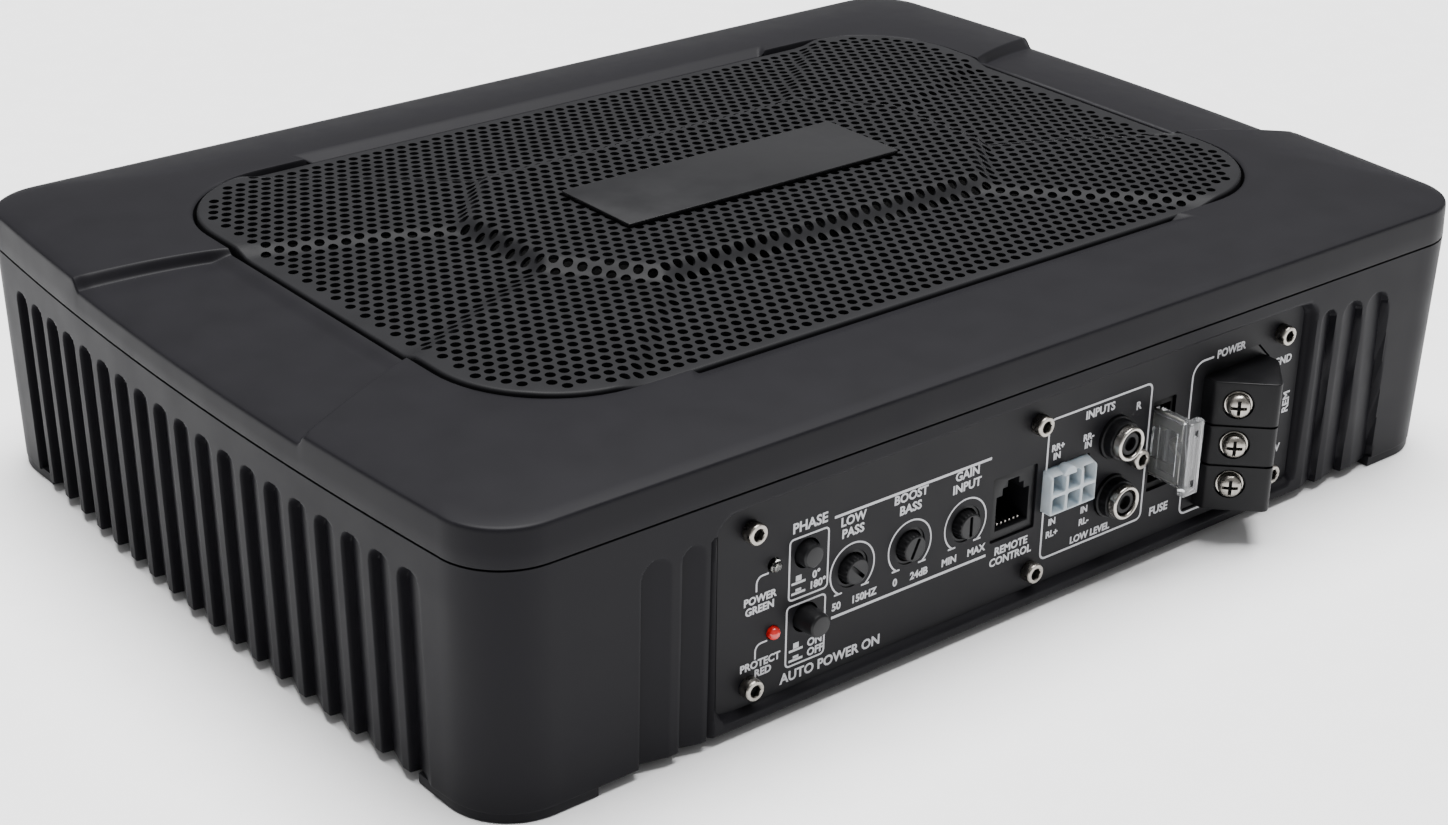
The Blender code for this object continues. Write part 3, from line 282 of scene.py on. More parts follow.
LENS_RED = surface("red_lens", (0.55, 0.012, 0.010), 0.12, grain=500, depth=0.01, mottle=0.25,
                   mottle_scale=600, coat=0.6)


def nylon():
    made = surface("milky_nylon", (0.36, 0.40, 0.43), 0.38, grain=900, depth=0.03, mottle=0.08,
                   mottle_scale=250)
    shader = made.node_tree.nodes["Principled BSDF"]
    shader.inputs["Subsurface Weight"].default_value = 0.5
    shader.inputs["Subsurface Radius"].default_value = (0.004, 0.005, 0.006)
    shader.inputs["Subsurface Scale"].default_value = 1.0
    return made


NYLON = nylon()


# Shapes.

def linked(name, data):
    """A new object in the scene that holds this data."""
    obj = bpy.data.objects.new(name, data)
    bpy.context.scene.collection.objects.link(obj)
    return obj


def object_from(name, verts, faces):
    """An object from points in the body's frame, in millimetres, its faces turned outwards."""
    mesh = bpy.data.meshes.new(name)
    mesh.from_pydata([(x * MM, y * MM + SHIFT_Y, z * MM) for x, y, z in verts], [], faces)
    bm = bmesh.new()
    bm.from_mesh(mesh)
    bmesh.ops.recalc_face_normals(bm, faces=bm.faces)
    bm.to_mesh(mesh)
    bm.free()
    return linked(name, mesh)


def place(obj, look, body=ROOT_BODY, replaces=(), smooth=35):
    """Finishes a piece: its shading, material, body, and the nodes that it stands for."""
    obj.data.materials.clear()
    obj.data.materials.append(look)
    obj.data.shade_smooth()
    obj.data.set_sharp_from_angle(angle=math.radians(smooth))
    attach(obj, body)
    for node in replaces:
        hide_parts(node)
    return obj


def evaluated_mesh(obj):
    graph = bpy.context.evaluated_depsgraph_get()
    return bpy.data.meshes.new_from_object(obj.evaluated_get(graph))


def curve_mesh(curve):
    """The mesh of a curve or a text, which isn't kept itself."""
    temporary = linked(curve.name, curve)
    mesh = evaluated_mesh(temporary)
    bpy.data.objects.remove(temporary)
    return mesh


def apply_modifiers(obj):
    mesh = evaluated_mesh(obj)
    obj.modifiers.clear()
    obj.data = mesh
    return obj


def bevel(obj, width, segments=3, degrees=35):
    modifier = obj.modifiers.new("bevel", "BEVEL")
    modifier.width = width * MM
    modifier.segments = segments
    modifier.limit_method = "ANGLE"
    modifier.angle_limit = math.radians(degrees)
    return apply_modifiers(obj)


def boolean(obj, other, operation="DIFFERENCE"):
    modifier = obj.modifiers.new("boolean", "BOOLEAN")
    modifier.operation = operation
    modifier.solver = "EXACT"
    modifier.object = other
    apply_modifiers(obj)
    bpy.data.objects.remove(other)
    return obj


def joined(name, objects):
    """The objects as one object, with no Boolean."""
    bm = bmesh.new()
    for obj in objects:
        bm.from_mesh(obj.data)
    mesh = bpy.data.meshes.new(name)
    bm.to_mesh(mesh)
    bm.free()
    for obj in objects:
        bpy.data.objects.remove(obj)
    return linked(name, mesh)


def ring_faces(count, rings, closed=False):
    faces = []
    for ring in range(rings if closed else rings - 1):
        low, high = ring * count, (ring + 1) % rings * count
        for here in range(count):
            after = (here + 1) % count
            faces.append((low + here, low + after, high + after, high + here))
    return faces


def loft(name, rings, closed=False):
    """Rings of equal length joined in turn, capped at both ends unless they close on themselves."""
    count = len(rings[0])
    faces = ring_faces(count, len(rings), closed)
    if not closed:
        faces.append(tuple(range(count)))
        faces.append(tuple((len(rings) - 1) * count + i for i in range(count)))
    return object_from(name, [point for ring in rings for point in ring], faces)


def block(name, low, high):
    corners = list(itertools.product(*zip(low, high)))
    faces = [(0, 1, 3, 2), (4, 6, 7, 5), (0, 4, 5, 1), (2, 3, 7, 6), (0, 2, 6, 4), (1, 5, 7, 3)]
    return object_from(name, corners, faces)


def front_matrix(x, z, y=PANEL_Y):
    """A frame on the panel: its X is to the right, its Y is up and its Z comes out of the panel."""
    return Matrix(((1, 0, 0, x), (0, 0, -1, y), (0, 1, 0, z), (0, 0, 0, 1)))


def lathe(name, profile, matrix, steps=48, closed=False, ripple=None):
    """A profile of (radius, height) turned about the frame's Z: a ring if it closes on itself,
    or else it starts and ends on the axis. ripple(angle, height) scales the radius."""
    rows = profile if closed else profile[1:-1]
    verts = []
    for radius, height in rows:
        for step in range(steps):
            angle = math.tau * step / steps
            scale = ripple(angle, height) if ripple else 1.0
            verts.append(matrix @ Vector((radius * scale * math.cos(angle),
                                          radius * scale * math.sin(angle), height)))
    faces = ring_faces(steps, len(rows), closed)
    if not closed:
        verts += [matrix @ Vector((0, 0, profile[0][1])), matrix @ Vector((0, 0, profile[-1][1]))]
        first, last = len(verts) - 2, len(verts) - 1
        end = (len(rows) - 1) * steps
        for here in range(steps):
            after = (here + 1) % steps
            faces.append((first, after, here))
            faces.append((last, end + here, end + after))
    return object_from(name, verts, faces)


def extruded(name, outline, matrix, low, high):
    """A 2D outline in the frame's XY plane, between two heights of its Z."""
    rings = [[matrix @ Vector((x, y, h)) for x, y in outline] for h in (low, high)]
    return loft(name, rings)


def arc(centre, radius, start, end, steps):
    angles = [math.radians(start + (end - start) * i / steps) for i in range(steps + 1)]
    return [(centre[0] + radius * math.cos(a), centre[1] + radius * math.sin(a)) for a in angles]


def rounded_rectangle(low_x, high_x, low_y, high_y, radius, steps=5):
    points = arc((high_x - radius, low_y + radius), radius, -90, 0, steps)
    points += arc((high_x - radius, high_y - radius), radius, 0, 90, steps)
    points += arc((low_x + radius, high_y - radius), radius, 90, 180, steps)
    return points + arc((low_x + radius, low_y + radius), radius, 180, 270, steps)


def smoothstep(value, low, high):
    share = min(1.0, max(0.0, (value - low) / (high - low)))
    return share * share * (3 - 2 * share)


def perimeter(half_x, half_y, radius, bow, xs, ys, steps=12):
    """A rounded rectangle as (x, y), from its right side on. Its left and right sides bow out."""
    x, y = half_x - bow - radius, half_y - radius
    side = [(half_x - bow * (v / y) ** 2, v) for v in ys]
    points = list(side)
    points += arc((x, y), radius, 0, 90, steps)
    points += [(v, half_y) for v in reversed(xs)]
    points += arc((-x, y), radius, 90, 180, steps)
    points += [(-a, b) for a, b in reversed(side)]
    points += arc((-x, -y), radius, 180, 270, steps)
    points += [(v, -half_y) for v in xs]
    return points + arc((x, -y), radius, 270, 360, steps)


# Camera, stage and lights.

def camera():
    """The camera, fitted to the perspective of the photographed object."""
    azimuth, elevation, roll = math.radians(-39.746), math.radians(26.522), math.radians(1.164)
    back = Vector((math.sin(azimuth) * math.cos(elevation),
                   -math.cos(azimuth) * math.cos(elevation),
                   math.sin(elevation)))
    side = Vector((0, 0, 1)).cross(back).normalized()
    up = back.cross(side)
    x_axis = math.cos(roll) * side + math.sin(roll) * up
    y_axis = -math.sin(roll) * side + math.cos(roll) * up
    data = bpy.data.cameras.new("camera")
    data.sensor_width = 36
    data.lens = 64.63
    data.shift_x = -0.01596
    data.shift_y = 0.02443
    data.clip_start = 0.01
    obj = linked("camera", data)
    matrix = Matrix((x_axis, y_axis, back)).transposed().to_4x4()
    matrix.translation = Vector((-378.80 * MM, -462.78 * MM + SHIFT_Y, 297.33 * MM))
    obj.matrix_world = matrix
    bpy.context.scene.camera = obj


def sun(name, towards, strength, degrees):
    """A soft sun whose light comes from this direction."""
    data = bpy.data.lights.new(name, "SUN")
    data.energy = strength
    data.angle = math.radians(degrees)
    turn = (-Vector(towards)).to_track_quat("-Z", "Y")
    linked(name, data).rotation_euler = turn.to_euler()


def stage():
    world = bpy.data.worlds.new("studio")
    world.use_nodes = True
    background = world.node_tree.nodes["Background"]
    background.inputs["Color"].default_value = (1.0, 1.0, 1.0, 1)
    background.inputs["Strength"].default_value = SKY_STRENGTH
    bpy.context.scene.world = world
    mesh = bpy.data.meshes.new("floor")
    reach = 6.0
    mesh.from_pydata([(-reach, -reach, 0), (reach, -reach, 0), (reach, reach, 0),
                      (-reach, reach, 0)], [],
                     [(0, 1, 2, 3)])
    floor = linked("floor", mesh)
    floor.data.materials.append(surface("pale_floor", (0.93, 0.93, 0.935), 0.7, mottle=0.01,
                                        depth=0.0))
    sun("key", SUN_FROM, SUN_STRENGTH, SUN_ANGLE)


# The housing: a drafted, bowed wall pushed in where it is fluted, grooved and recessed.

def flute_depth(along, z, width, depth, top_z):
    """How deep a wedge-shaped flute is at this point. It is deepest at its positive edge."""
    radius = width / 2
    if z > top_z - radius:
        inside = radius - math.hypot(along, z - (top_z - radius))
    else:
        inside = radius - abs(along)
    if inside <= 0:
        return 0.0
    share = min(1.0, (along + radius) / width)
    return depth * share * smoothstep(inside, 0.0, 0.38)


def recess_depth(x, z):
    """How deep the panel's recess is, measured from the front plane."""
    radius = 5.0
    dx = (abs(x) - 92.4) * 0.78 + radius
    dz = abs(z - 29.35) - 25.35 + radius
    outside = math.hypot(max(dx, 0), max(dz, 0)) + min(max(dx, dz), 0) - radius
    slope = 2.8 * smoothstep(-outside, -0.1, 1.55) if outside < 0.1 else 0.0
    return slope + 2.3 * smoothstep(-outside, 1.6, 1.8)


def wall_points(z, xs, ys):
    inward = max(0.0, SEAM_Z - z) * DRAFT
    if z < BASE_Z + BOTTOM_ROUND:
        below = BASE_Z + BOTTOM_ROUND - z
        inward += BOTTOM_ROUND - math.sqrt(max(0.0, BOTTOM_ROUND ** 2 - below ** 2))
    base = perimeter(HALF_X - inward, HALF_Y - inward, CORNER, BOW, xs, ys)
    points = []
    reach = HALF_Y - CORNER
    for x, y in base:
        if abs(y) < reach and abs(x) > 140:
            nearest = round(y / FLUTE_PITCH)
            if abs(nearest) <= FLUTE_COUNT // 2:
                along = y - nearest * FLUTE_PITCH
                cut = flute_depth(along, z, FLUTE_WIDTH, FLUTE_DEPTH, FLUTE_TOP_Z)
                x -= math.copysign(cut, x)
        elif abs(x) < 136:
            front = y < 0
            cut = 0.0
            for edge, width, lean in GROOVES:
                half = math.copysign(1, edge)
                centre = edge - half * width / 2 - math.tan(math.radians(lean)) * (z - 28) * half
                along = ((x if front else -x) - centre) * half
                cut = max(cut, flute_depth(along, z, width, GROOVE_DEPTH, GROOVE_TOP_Z))
            level = abs(y) - cut
            if front:
                level = min(level, HALF_Y - recess_depth(x, z))
            y = math.copysign(level, y)
        points.append((x, y, z))
    return points


def spaced(start, end, step):
    count = max(1, round((end - start) / step))
    return [start + (end - start) * i / count for i in range(count)]


def housing():
    offsets = (-4.7, -4.0, -3.6, -3.35, -3.0, -2.2, -1.4, -0.6, 0.2, 1.0, 1.7, 2.3, 2.7, 3.0, 3.15,
               3.25,
               3.35, 3.45, 3.55, 3.65, 3.9, 4.3)
    half = FLUTE_COUNT // 2
    ys = [i * FLUTE_PITCH + o for i in range(-half, half + 1) for o in offsets]
    ys = [-92.0] + ys + [90.5, 94.0]
    right = spaced(0, 89, 6.0) + spaced(89, 124, 0.4) + spaced(124, 134, 3.0)
    xs = [-v for v in reversed(right[1:])] + right
    levels = [2.2, 2.23, 2.3, 2.42, 2.6, 3.0, 3.4, 3.7, 3.85, 4.0, 4.2, 4.6, 5.6, 6.0, 8, 14, 22,
              30, 38, 44, 46]
    levels += spaced(46.5, 55.6, 0.35) + [56.2, 57.3, 57.75, 57.92]
    rings = [[(x, y, BASE_Z) for x, y in perimeter(HALF_X - 9, HALF_Y - 9, 8.0, BOW, xs, ys)]]
    rings += [wall_points(z, xs, ys) for z in levels]
    rings.append([(x * 0.9985, y * 0.9985, SEAM_Z) for x, y, _ in rings[-1]])
    middle = sum(CAVITY_Y) / 2
    cavity = perimeter(HALF_X - WALL, (CAVITY_Y[1] - CAVITY_Y[0]) / 2, CORNER - WALL / 2, BOW, xs,
                       ys)
    rings.append([(x, y + middle, SEAM_Z) for x, y in cavity])
    rings.append([(x * 0.985, y + middle, FLOOR_TOP_Z) for x, y in cavity])
    tub = loft("housing_shell", rings)
    window = [(-78.3, 14), (38, 14), (38, 7.2), (79.4, 7.2), (79.4, 47.0), (50, 47.0), (50, 43.6),
              (-78.3, 43.6)]
    boolean(tub, extruded("window", window, front_matrix(0, 0), -9, 2))
    place(tub, ABS_BLACK, replaces=["lower_housing"], smooth=50)


def feet():
    """The four corner feet, each with a moulded ring and a case screw's counterbore."""
    inward = SEAM_Z * DRAFT + 0.1
    far_x, far_y = HALF_X - BOW - inward, HALF_Y - inward
    screw_x, screw_y = 131.7, 93.2
    pads = []
    for side_x in (-1, 1):
        for side_y in (-1, 1):
            outline = [(far_x - 26, far_y - 26), (far_x, far_y - 26)]
            outline += arc((far_x - CORNER, far_y - CORNER), CORNER, 0, 90,
                           16) + [(far_x - 26, far_y)]
            rings = []
            middle = (far_x - 13, far_y - 13)
            for z, grow in ((0.0, 0.975), (0.2, 0.992), (0.5, 1.0), (BASE_Z + 0.5, 1.0)):
                ring = [((x - middle[0]) * grow + middle[0], (y - middle[1]) * grow + middle[1])
                        for x, y in outline]
                rings.append([(side_x * x, side_y * y, z) for x, y in ring])
            pad = loft("foot", rings)
            at = Matrix.Translation((side_x * screw_x, side_y * screw_y, 0))
            boolean(pad, lathe("bore", [(0, 2.0), (3.4, 2.0), (3.4, -1), (0, -1)], at, 32))
            pads.append(pad)
            screw = lathe("case_screw",
                          [(0, 1.9), (2.6, 1.9), (2.9, 1.5), (2.9, 0.9), (2.3, 0.55), (0, 0.5)],
                          at, 32)
            for reach, half in ((1.6, 0.35), (0.35, 1.6)):
                x, y = at.translation.x, at.translation.y
                boolean(screw, block("cross", (x - reach, y - half, 0.0),
                                     (x + reach, y + half, 1.1)))
            screw.name = f"case_screw_{side_x + 2}{side_y + 2}"
            place(screw, SCREW_NICKEL)
    place(joined("corner_feet", pads), ABS_BLACK)


# The cover: a frame whose left and right rims step down, with strips that lead to the grille.

def cover():
    outer_half = ([0, 10, 20, 30, 38, 43, 46, 47.2] + [47.6 + 0.35 * i for i in range(13)]
                  + [52.6, 54, 58, 66, 76, 86, 93])
    inner_half = ([0, 8, 15, 22, 28, 32, 34.5, 35.6] + [36.0 + 0.2 * i for i in range(13)]
                  + [38.8, 39.3, 40.4, 42, 43.5, 44.6, 45.4])
    outer_ys = [-v for v in reversed(outer_half[1:])] + outer_half
    inner_ys = [-v for v in reversed(inner_half[1:])] + inner_half
    outer_x = [0, 20, 40, 60, 78, 88, 91,
               92] + [92.6 + 0.5 * i for i in range(9)] + [97.6, 100, 108, 118, 130]
    inner_x = [0, 14, 28, 42, 56, 66, 70, 71.5] + [72.0 + 0.4 * i for i in range(9)] + [76, 78, 80,
                                                                                        83, 85.6]
    outer_xs = [-v for v in reversed(outer_x[1:])] + outer_x
    inner_xs = [-v for v in reversed(inner_x[1:])] + inner_x
    steps = 16
    count_y, count_x = len(outer_ys), len(outer_xs)

    def drops():
        """For each point round the cover: its share in the lowered rims and in the end strips."""
        side, ends = [], []
        for y in outer_ys:
            side.append(1 - smoothstep(abs(y), 47.9, 50.9))
            ends.append(0.0)
        corner = [0.0] * (steps + 1)
        strip = [1 - smoothstep(abs(x), 92.6, 96.2) for x in outer_xs]
        side = side + corner + [0.0] * count_x + corner + side + corner + [0.0] * count_x + corner
        ends = ends + corner + strip + corner + ends + corner + strip + corner
        return side, ends

    side, ends = drops()
    outer = perimeter(HALF_X, HALF_Y, CORNER, BOW, outer_xs, outer_ys, steps)
    opening = [(x + GRILLE_CENTRE[0], y + GRILLE_CENTRE[1]) for x, y in
               perimeter(OPENING_X, OPENING_Y, OPENING_R, 0, inner_xs, inner_ys, steps)]
    assert len(outer) == len(opening) == len(side) == len(ends)

    def blend_ring(share, lift):
        """A ring this share of the way in, at the height that lift(index, share) gives."""
        ring = []
        for i, ((ax, ay), (bx, by)) in enumerate(zip(outer, opening)):
            x, y = ax + (bx - ax) * share, ay + (by - ay) * share
            ring.append((x, y, lift(i, share)))
        return ring

    def inset_ring(inset, z, sunk=1.0):
        ring = perimeter(HALF_X - inset, HALF_Y - inset, CORNER - inset / 2, BOW, outer_xs,
                         outer_ys, steps)
        return [(x, y, z - RIM_DROP * side[i] * sunk) for i, (x, y) in enumerate(ring)]

    def top(i, share):
        """The top surface: it rises towards the opening, and the strips beside the grille slope."""
        z = COVER_EDGE_Z + (COVER_INNER_Z - COVER_EDGE_Z) * math.sin(share * math.pi / 2) ** 0.9
        ridge = 0.845
        climb = smoothstep(share, ridge, 1.0) if share > ridge else 0.0
        z -= RIM_DROP * side[i] * (1 - 0.52 * climb)
        z -= 1.5 * ends[i] * climb
        return z

    rings = [inset_ring(0.3, COVER_LOW_Z, 0), inset_ring(0.08, COVER_LOW_Z + 0.1, 0),
             inset_ring(0.0, COVER_LOW_Z + 0.35, 0)]
    for inset, z in ((0.12, 62.0), (0.23, 65.85), (0.25, 66.1), (0.3, 66.45), (0.44, 66.78),
                     (0.72, 67.0), (1.2, 67.12)):
        rings.append(inset_ring(inset, z, smoothstep(z, 59.5, 65.6)))
    shares = [0.06, 0.12, 0.2, 0.3, 0.4, 0.5, 0.6, 0.7, 0.78, 0.82, 0.838, 0.85, 0.87, 0.9, 0.94,
              0.975]
    rings += [blend_ring(s, top) for s in shares]
    rings.append(blend_ring(0.992, lambda i, s: top(i, 1.0) - 0.08))
    rings.append(blend_ring(1.0, lambda i, s: top(i, 1.0) - 0.45))
    rings.append(blend_ring(1.0, lambda i, s: 64.8))
    rings.append(blend_ring(0.9, lambda i, s: 64.4))
    rings.append([(x, y, 61.6) for x, y, _ in inset_ring(3.2, 0, 0)])
    rings.append([(x, y, COVER_LOW_Z) for x, y, _ in inset_ring(3.2, 0, 0)])
    place(loft("cover_shell", rings, closed=True), ABS_BLACK,
          replaces=["top_cover"], smooth=40)


# The grille.

def grille_height(x, y):
    """The pressed relief: a domed sheet, four lowered bands, raised corner arms and a plateau."""
    ax, ay = abs(x), abs(y)
    edge_x, edge_y = abs(x - GRILLE_CENTRE[0]), abs(y - GRILLE_CENTRE[1])
    west = (16 + (ax - 68) * 21 / 48.3 - ay) * 0.917
    north = (45 + (ay - 35) * 45 / 40.7 - ax) * 0.67
    band = max(smoothstep(west, -1.9, 3.9), smoothstep(north, -1.9, 3.9))
    edge = min(GRILLE_X - edge_x, GRILLE_Y - edge_y)
    dome = 0.7 * smoothstep(edge, 0, 34)
    z = GRILLE_Z + dome - BAND_DROP * band * (1 - 0.25 * smoothstep(edge, 0, 40))
    inside = min(68 - ax, 36 - ay, (68 + 16 * 0.9 - ax - 0.9 * ay) * 0.74)
    rise = smoothstep(inside, -3.2, 2.2)
    return z + (PLATEAU_TOP_Z - z) * rise


def rounded_distance(x, y, half_x, half_y, radius):
    """How far inside a rounded rectangle the point is."""
    dx, dy = abs(x) - half_x + radius, abs(y) - half_y + radius
    return radius - math.hypot(max(dx, 0), max(dy, 0)) - min(max(dx, dy), 0)


def grille():
    roll = 0.8
    pitch = PERFORATION_PITCH
    row = pitch * math.sqrt(3) / 2
    sides = [math.radians(60 * k) for k in range(6)]
    verts, keys, faces, use = [], {}, [], {}

    def vertex(x, y):
        key = (round(x * 500), round(y * 500))
        if key not in keys:
            keys[key] = len(verts)
            verts.append((x, y))
        return keys[key]

    cells = set()
    for j in range(-45, 46):
        for i in range(-36, 37):
            cx, cy = (i + (j % 2) / 2) * pitch, j * row
            if rounded_distance(cx, cy, GRILLE_X, GRILLE_Y, GRILLE_R) < roll + pitch * 0.585:
                continue
            cells.add((i, j))
            rim, hole = [], []
            for k in range(12):
                angle = math.radians(30 * k)
                reach = pitch / 2 if k % 2 == 0 else pitch / math.sqrt(3)
                rim.append(vertex(cx + reach * math.cos(angle), cy + reach * math.sin(angle)))
                hole.append(vertex(cx + PERFORATION_RADIUS * math.cos(angle),
                                   cy + PERFORATION_RADIUS * math.sin(angle)))
            for k in range(12):
                after = (k + 1) % 12
                faces.append((rim[k], rim[after], hole[after], hole[k]))
                edge = tuple(sorted((rim[k], rim[after])))
                use[edge] = use.get(edge, 0) + 1
    jagged = [edge for edge, count in use.items() if count == 1]
    count_y, count_x = 40, 76
    ys = [-45.7 + 91.4 * (i + 1) / (count_y + 1) for i in range(count_y)]
    xs = [-86.3 + 172.6 * (i + 1) / (count_x + 1) for i in range(count_x)]
    border = perimeter(GRILLE_X - roll, GRILLE_Y - roll, GRILLE_R - roll, 0, xs, ys, 26)
    border_ids = [vertex(x, y) for x, y in border]
    used = sorted({v for edge in jagged for v in edge} | set(border_ids))
    local = {v: n for n, v in enumerate(used)}
    constraints = [(local[a], local[b]) for a, b in jagged]
    constraints += [(local[a], local[b]) for a,
                    b in zip(border_ids, border_ids[1:] + border_ids[:1])]
    result = delaunay_2d_cdt([Vector(verts[v]) for v in used], constraints, [], 1, 1e-5)
    points, triangles, origins = result[0], result[2], result[3]
    names = [used[origin[0]] if origin else vertex(*points[n]) for n, origin in enumerate(origins)]
    for triangle in triangles:
        x = sum(points[n][0] for n in triangle) / 3
        y = sum(points[n][1] for n in triangle) / 3
        inside_cell = False
        for j in (math.floor(y / row), math.ceil(y / row)):
            i = round(x / pitch - (j % 2) / 2)
            cx, cy = (i + (j % 2) / 2) * pitch, j * row
            if (i, j) in cells and all((x - cx) * math.cos(a) + (y - cy) * math.sin(a) < pitch / 2
                                       for a in sides):
                inside_cell = True
        if not inside_cell:
            faces.append(tuple(names[n] for n in triangle))
    dx, dy = GRILLE_CENTRE
    solid = [(x + dx, y + dy, grille_height(x + dx, y + dy)) for x, y in verts]
    last = border_ids
    for angle in (22.5, 45, 67.5, 90, None):
        inset = roll if angle is None else roll * (1 - math.sin(math.radians(angle)))
        inset = 0.0 if angle is None else inset
        ring = perimeter(GRILLE_X - inset, GRILLE_Y - inset, GRILLE_R - inset, 0, xs, ys, 26)
        fresh = []
        for (x, y), (bx, by) in zip(ring, border):
            top = grille_height(bx + dx, by + dy)
            z = top - roll * (1 - math.cos(math.radians(angle))) if angle is not None else 65.2
            fresh.append(len(solid))
            solid.append((x + dx, y + dy, z))
        count = len(ring)
        for here in range(count):
            after = (here + 1) % count
            faces.append((last[here], last[after], fresh[after], fresh[here]))
        last = fresh
    obj = object_from("perforated_grille", solid, faces)
    upward = sum(p.normal.z * p.area for p in obj.data.polygons)
    if upward < 0:
        obj.data.flip_normals()
    thick = obj.modifiers.new("sheet", "SOLIDIFY")
    thick.thickness = 1.0 * MM
    thick.offset = -1
    apply_modifiers(obj)
    place(obj, MESH_COAT, replaces=["grille"], smooth=38)


def name_plate():
    plate = extruded("badge_plate", rounded_rectangle(-42, 42, -13.5, 13.5, 0.4, 3),
                     Matrix.Identity(4),
                     73.75, 74.68)
    bevel(plate, 0.12, 2)
    place(plate, PLATE_BLACK, replaces=["name_plate"])


# The control panel.

def flat_plate(name, outlines, low_y, high_y):
    """A plate in the XZ plane between two Y limits. Its first outline is its edge."""
    curve = bpy.data.curves.new(name, "CURVE")
    curve.dimensions = "2D"
    curve.fill_mode = "BOTH"
    curve.extrude = (high_y - low_y) / 2 * MM
    for outline in outlines:
        spline = curve.splines.new("POLY")
        spline.points.add(len(outline) - 1)
        for point, (x, z) in zip(spline.points, outline):
            point.co = (x * MM, z * MM, 0, 1)
        spline.use_cyclic_u = True
    mesh = curve_mesh(curve)
    mesh.transform(Matrix(((1, 0, 0, 0), (0, 0, -1, (low_y + high_y) / 2 * MM + SHIFT_Y),
                           (0, 1, 0, 0),
                           (0, 0, 0, 1))))
    bm = bmesh.new()
    bm.from_mesh(mesh)
    bmesh.ops.remove_doubles(bm, verts=bm.verts, dist=1e-6)
    bmesh.ops.recalc_face_normals(bm, faces=bm.faces)
    bm.to_mesh(mesh)
    bm.free()
    return linked(name, mesh)


def circle(x, z, radius, steps=40):
    return arc((x, z), radius, 0, 360 - 360 / steps, steps - 1)


def terminal_window(inset=0.0):
    low_x, high_x, low_z, high_z = TERMINAL_WINDOW
    clip = 4.0
    return [(low_x + inset, low_z + inset), (high_x - inset, low_z + inset),
            (high_x - inset, high_z - clip - inset), (high_x - clip - inset, high_z - inset),
            (low_x + inset, high_z - inset)]


def panel():
    outlines = [rounded_rectangle(-PANEL_HALF_X, PANEL_HALF_X, *PANEL_Z, 3.0, 8)]
    outlines += [circle(x, z, 1.7) for x, z in SCREWS]
    outlines += [circle(x, z, 3.5) for x, z, _ in BUTTONS.values()]
    outlines += [circle(x, KNOB_Z, 4.4) for x, _ in KNOBS.values()]
    outlines += [circle(x, z, 1.7) for x, z in LEDS.values()]
    outlines += [circle(RCA_X, z, 5.4) for z in RCA_Z.values()]
    for low_x, high_x, low_z, high_z in (JACK, SOCKET, FUSE_SLOT):
        outlines.append(rounded_rectangle(low_x - 0.2, high_x + 0.2, low_z - 0.2, high_z + 0.2, 0.5,
                                          3))
    outlines.append(terminal_window())
    plate = flat_plate("panel_plate", outlines, PANEL_Y, PANEL_BACK_Y)
    place(plate, PANEL_PAINT, replaces=["control_panel"], smooth=30)


INK_HEIGHT = 0.035
PRINT_BOLD = 0.085


def stroke(points, width=0.5, closed=False):
    """A printed line through (x, z) points, with mitred joints, as a thin raised strip."""
    count = len(points)
    left, right = [], []
    for n in range(count):
        before = points[n - 1] if n or closed else points[n]
        after = points[(n + 1) % count] if n < count - 1 or closed else points[n]
        first = Vector((points[n][0] - before[0], points[n][1] - before[1]))
        second = Vector((after[0] - points[n][0], after[1] - points[n][1]))
        if first.length == 0:
            first = second
        if second.length == 0:
            second = first
        first.normalize()
        second.normalize()
        normal = Vector((-(first + second).y, (first + second).x)).normalized()
        reach = width / 2 / max(0.5, normal.dot(Vector((-first.y, first.x))))
        left.append((points[n][0] + normal.x * reach, points[n][1] + normal.y * reach))
        right.append((points[n][0] - normal.x * reach, points[n][1] - normal.y * reach))
    verts, faces = [], []
    for y in (PANEL_Y - INK_HEIGHT, PANEL_Y + 0.02):
        verts += [(x, y, z) for x, z in left] + [(x, y, z) for x, z in right]
    top, low = 0, 2 * count
    for n in range(count if closed else count - 1):
        after = (n + 1) % count
        a, b, c, d = n, after, count + after, count + n
        faces += [(a, b, c, d), (low + a, low + d, low + c, low + b), (a, low + a, low + b, b),
                  (d, c, low + c, low + d)]
    if not closed:
        for n in (0, count - 1):
            faces.append((n, count + n, low + count + n, low + n))
    return object_from("stroke", verts, faces)


def words(text, x, z, size, turn=0.0):
    """A printed word, its baseline's anchor at (x, z). size is the height of a capital."""
    curve = bpy.data.curves.new("words", "FONT")
    curve.body = text
    curve.size = size / 0.7 * MM
    curve.align_x = "CENTER"
    curve.offset = PRINT_BOLD * MM
    curve.extrude = (INK_HEIGHT + 0.02) / 2 * MM
    curve.resolution_u = 3
    mesh = curve_mesh(curve)
    at = Matrix.Translation((x * MM, (PANEL_Y - (INK_HEIGHT - 0.02) / 2) * MM + SHIFT_Y, z * MM))
    at @= Matrix(((1, 0, 0, 0), (0, 0, -1, 0), (0, 1, 0, 0), (0, 0, 0, 1)))
    mesh.transform(at @ Matrix.Rotation(math.radians(turn), 4, "Z"))
    return linked("words", mesh)


def filled(points):
    return extruded("mark", points, front_matrix(0, 0), -0.02, INK_HEIGHT)


def push_mark(x, z, pressed):
    """The printed sign of a push switch: a cap on its base, low when pressed in."""
    width, height = 1.5, 0.6 if pressed else 1.3
    return [filled([(x - 1.9, z), (x + 1.9, z), (x + 1.9, z + 0.55), (x - 1.9, z + 0.55)]),
            filled([(x - width / 2, z + 0.7), (x + width / 2, z + 0.7),
                    (x + width / 2, z + 0.7 + height),
                    (x - width / 2, z + 0.7 + height)])]


